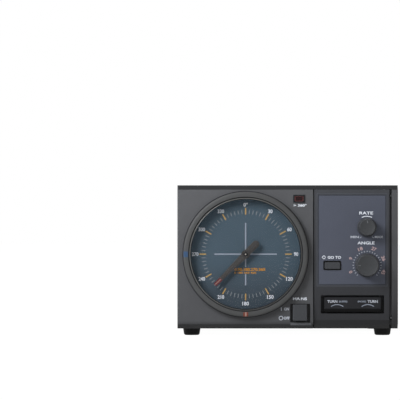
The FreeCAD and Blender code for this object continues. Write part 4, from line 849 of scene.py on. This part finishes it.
class CONTROLLER_OT_trim(bpy.types.Operator):
    """Painted shade and highlight lines round the plate, painted shade round the ring and along the
    fold, and the ledge under the power button
    """
    bl_idname = "controller.trim"
    bl_label = "Panel lines"

    def execute(self, context):
        meter = context.scene.controller_meter
        sizes = context.scene.controller_panel
        low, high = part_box("control_plate")
        plate = axis("control_plate")
        # Frames round the plate, a painted shade along its edge and a painted highlight on the step
        # round
        # it: millimetres outside its edge, and width
        for name, out, wide, carrier, surface, slot in (
                ("plate_edge_shade", -0.2, 0.55, "control_plate", "Painted shade, plate edge",
                 "plate_paint"),
                ("plate_step_highlight", 1.25, 0.7, "panel_surround", "Painted highlight, line grey",
                 "bezel_plastic")):
            shape = bmesh.new()
            half_x = (high.x - low.x) / 2 + (out - wide / 2) * MM
            half_z = (high.z - low.z) / 2 + (out - wide / 2) * MM
            for side in (-1, 1):
                add_bar(shape, wide * MM, INK, 2 * half_z + wide * MM,
                        plate + Vector((side * half_x, 0, 0)))
                add_bar(shape, 2 * half_x - wide * MM, INK, wide * MM,
                        plate + Vector((0, 0, side * half_z)))
            press_on(shape, nodes[carrier])
            make_piece(name, shape, [surface], "case")
        # Painted shadow along the fold of the surround, where the upper part's edge shades the
        # lower, short of its ends
        low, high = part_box("panel_surround")
        shape = bmesh.new()
        add_bar(shape, high.x - low.x - 2.4 * MM, INK, sizes.fold_shadow_width,
                Vector(((low.x + high.x) / 2, 0, sizes.fold_height)))
        press_on(shape, nodes["panel_surround"])
        make_piece("fold_shadow", shape, ["Painted shade, black line"], "case")
        # Painted shade on the moulding round the turning ring, where its gap would be dark
        shape = bmesh.new()
        add_arc(shape, METER, meter.gap_shade_radius, meter.gap_shade_width, 0, 360)
        press_on(shape, nodes["front_bezel"])
        make_piece("ring_gap_shade", shape, ["Painted shade, black line"], "case")
        # Ledge at the foot of the power button's well
        shape = bmesh.new()
        add_bar(shape, 19 * MM, 0.6 * MM, 2.1 * MM,
                Vector((POWER.x + 0.9 * MM, PANEL_Y, sizes.ledge_height)))
        soften(shape, 0.15 * MM, 2, lambda e: all(v.co.y < PANEL_Y for v in e.verts))
        make_piece("well_ledge", shape, ["Spark-eroded ABS, ledge grey"], "case",
                   (), 40)
        return {"FINISHED"}


class CONTROLLER_OT_front_print(bpy.types.Operator):
    """Words beside the lamp and the power button"""
    bl_idname = "controller.front_print"
    bl_label = "Front print"

    def execute(self, context):
        line = context.scene.controller_panel.symbol_width
        shape = bmesh.new()
        add_caption(shape, (
            ("> 360°", LAMP, 0.9, -6.0, 2.4, 11.8, 0), ("MAINS", POWER, 0.0, 12.5, 2.5, 12.6, 0),
            ("ON", POWER, -12.2, 3.2, 2.6, 4.4, 1), ("OFF", POWER, -12.0, -5.0, 2.6, 5.4, 1)))
        # The bar of the on symbol and the ring of the off symbol
        add_bar(shape, line, INK, 2.9 * MM, spot(POWER, -16.9, 3.2), 0, 1)
        add_arc(shape, spot(POWER, -17.2, -5.0), 1.7 * MM, line, 0, 360, 1)
        press_on(shape, nodes["front_bezel"])
        make_piece("front_print", shape, ["Screen print, white", "Screen print, pale grey"],
                   "case")
        return {"FINISHED"}


class CONTROLLER_OT_rocker_print(bpy.types.Operator):
    """Words and arcs on the direction key"""
    bl_idname = "controller.rocker_print"
    bl_label = "Key print"

    def execute(self, context):
        shape = bmesh.new()
        # Each end of the key has the larger word outside the smaller one, over an arc
        for side, words in ((-1, "(LESS)"), (1, "(MORE)")):
            end = spot(ROCKER, 13.9 * side, 0)
            add_caption(shape, (
                ("TURN", end, 4.4 * side, 2.6, 2.4, 9.2, 0),
                (words, end, -5.4 * side, 2.4, 2.0, 7.6, 1)))
            add_arc(shape, spot(end, 0, -9.6), 9.4 * MM, 0.7 * MM, -36, 72, 1)
        press_on(shape, nodes["direction_rocker"])
        make_piece("key_print", shape, ["Screen print, pale grey", "Screen print, dim white"],
                   "direction_rocker")
        return {"FINISHED"}


class CONTROLLER_OT_lamp(bpy.types.Operator):
    """Painted rim round the lamp's window"""
    bl_idname = "controller.lamp"
    bl_label = "Lamp rim"

    def execute(self, context):
        low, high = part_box("lamp_lens")
        shape = bmesh.new()
        centre = Vector((LAMP.x, low.y + 0.02 * MM, LAMP.z))
        wide = high.x - low.x
        tall = high.z - low.z
        upright, level, depth = 0.7 * MM, 0.6 * MM, 0.3 * MM
        for side in (-1, 1):
            add_bar(shape, upright, depth, tall,
                    centre + Vector((side * (wide - upright) / 2, 0, 0)))
            add_bar(shape, wide, depth, level, centre + Vector((0, 0, side * (tall - level) / 2)))
        make_piece("lamp_rim", shape, ["Painted trim, lamp rim"], "case")
        return {"FINISHED"}


class CONTROLLER_OT_stage(bpy.types.Operator):
    """Floor, lamps, white surroundings and camera"""
    bl_idname = "controller.stage"
    bl_label = "Stage"

    def execute(self, context):
        stage = context.scene.controller_stage
        context.scene.view_settings.view_transform = "Standard"

        def seen(tree):
            """One for rays that the viewer sees, also by way of gloss or glass."""
            path = add_node(tree, "ShaderNodeLightPath", {})
            ray = path.outputs["Is Camera Ray"]
            for other in ("Is Glossy Ray", "Is Transmission Ray"):
                ray = add_node(tree, "ShaderNodeMath", {
                    "operation": "MAXIMUM", 0: ray, 1: path.outputs[other]}).outputs[0]
            return ray

        # The paper glows where it is seen, so it is white up to the feet
        paper = new_material("White paper sweep")
        tree = paper.node_tree
        share = add_node(tree, "ShaderNodeMath", {"operation": "MULTIPLY", 0: seen(tree), 1: 0.8})
        matt = add_node(tree, "ShaderNodeBsdfDiffuse", {"Color": linear("#d8d8d8")})
        glow = add_node(tree, "ShaderNodeEmission", {"Color": (1, 1, 1, 1), "Strength": 1.2})
        both = add_node(tree, "ShaderNodeMixShader", {
            0: share.outputs[0], 1: matt.outputs[0], 2: glow.outputs[0]})
        add_node(tree, "ShaderNodeOutputMaterial", {"Surface": both.outputs[0]})
        shape = bmesh.new()
        bmesh.ops.create_grid(shape, x_segments=1, y_segments=1, size=6.0)
        mesh = bpy.data.meshes.new("floor")
        shape.to_mesh(mesh)
        shape.free()
        mesh.materials.append(paper)
        floor = bpy.data.objects.new("floor", mesh)
        context.scene.collection.objects.link(floor)

        # The room lights the object softly and is white where it is seen
        world = bpy.data.worlds.new("White room")
        context.scene.world = world
        world.use_nodes = True
        tree = world.node_tree
        tree.nodes.clear()
        light = add_node(tree, "ShaderNodeBackground", {
            "Color": (1, 1, 1, 1), "Strength": stage.sky})
        white = add_node(tree, "ShaderNodeBackground", {"Color": (1, 1, 1, 1), "Strength": 1.0})
        both = add_node(tree, "ShaderNodeMixShader", {
            0: seen(tree), 1: light.outputs[0], 2: white.outputs[0]})
        add_node(tree, "ShaderNodeOutputWorld", {"Surface": both.outputs[0]})

        aim = Vector((0, PANEL_Y, 0.07))
        for name, watts, place, size in (
                ("key", stage.key, (-0.42, -0.5, 0.42), 0.3),
                ("fill", stage.fill, (0.8, -0.9, 0.9), 0.7)):
            lamp = bpy.data.lights.new(name, "AREA")
            lamp.energy = watts
            lamp.color = (0.95, 0.985, 1.05)
            lamp.size = size
            holder = bpy.data.objects.new(name, lamp)
            holder.location = place
            holder.rotation_euler = (aim - Vector(place)).to_track_quat("-Z", "Y").to_euler()
            context.scene.collection.objects.link(holder)

        lens = bpy.data.cameras.new("camera")
        lens.sensor_width = 36
        lens.lens = lens.sensor_width * stage.distance / stage.field
        lens.clip_end = 100
        camera = bpy.data.objects.new("camera", lens)
        camera.location = (stage.view_x, PANEL_Y - stage.distance, stage.view_z)
        camera.rotation_euler = (math.radians(90), 0, 0)
        context.scene.collection.objects.link(camera)
        context.scene.camera = camera
        return {"FINISHED"}


STEPS = (CONTROLLER_OT_stage, CONTROLLER_OT_finishes, CONTROLLER_OT_ring, CONTROLLER_OT_lip,
         CONTROLLER_OT_dial_print, CONTROLLER_OT_needle, CONTROLLER_OT_knobs,
         CONTROLLER_OT_trim, CONTROLLER_OT_panel_print, CONTROLLER_OT_front_print,
         CONTROLLER_OT_rocker_print, CONTROLLER_OT_lamp)
GROUPS = {"controller_meter": MeterSizes, "controller_needle": NeedleSizes,
          "controller_panel": PanelSizes, "controller_finishes": Finishes,
          "controller_stage": StageSettings}


class CONTROLLER_PT_panel(bpy.types.Panel):
    """Sidebar panel with the sizes, the colours and the steps"""
    bl_idname = "CONTROLLER_PT_panel"
    bl_label = "Controller"
    bl_space_type = "VIEW_3D"
    bl_region_type = "UI"
    bl_category = "Controller"

    def draw(self, context):
        for attribute in GROUPS:
            group = getattr(context.scene, attribute)
            box = self.layout.box()
            for name in group.bl_rna.properties.keys():
                if name not in ("rna_type", "name"):
                    box.prop(group, name)
        for step in STEPS:
            self.layout.operator(step.bl_idname)


def register():
    for group in GROUPS.values():
        bpy.utils.register_class(group)
    for step in STEPS:
        bpy.utils.register_class(step)
    bpy.utils.register_class(CONTROLLER_PT_panel)
    for attribute, group in GROUPS.items():
        setattr(bpy.types.Scene, attribute, PointerProperty(type=group))


def unregister():
    for attribute in GROUPS:
        delattr(bpy.types.Scene, attribute)
    bpy.utils.unregister_class(CONTROLLER_PT_panel)
    for step in reversed(STEPS):
        bpy.utils.unregister_class(step)
    for group in reversed(list(GROUPS.values())):
        bpy.utils.unregister_class(group)


def main():
    register()
    for step in STEPS:
        group, name = step.bl_idname.split(".")
        getattr(getattr(bpy.ops, group), name)()


if __name__ == "__main__":
    main()
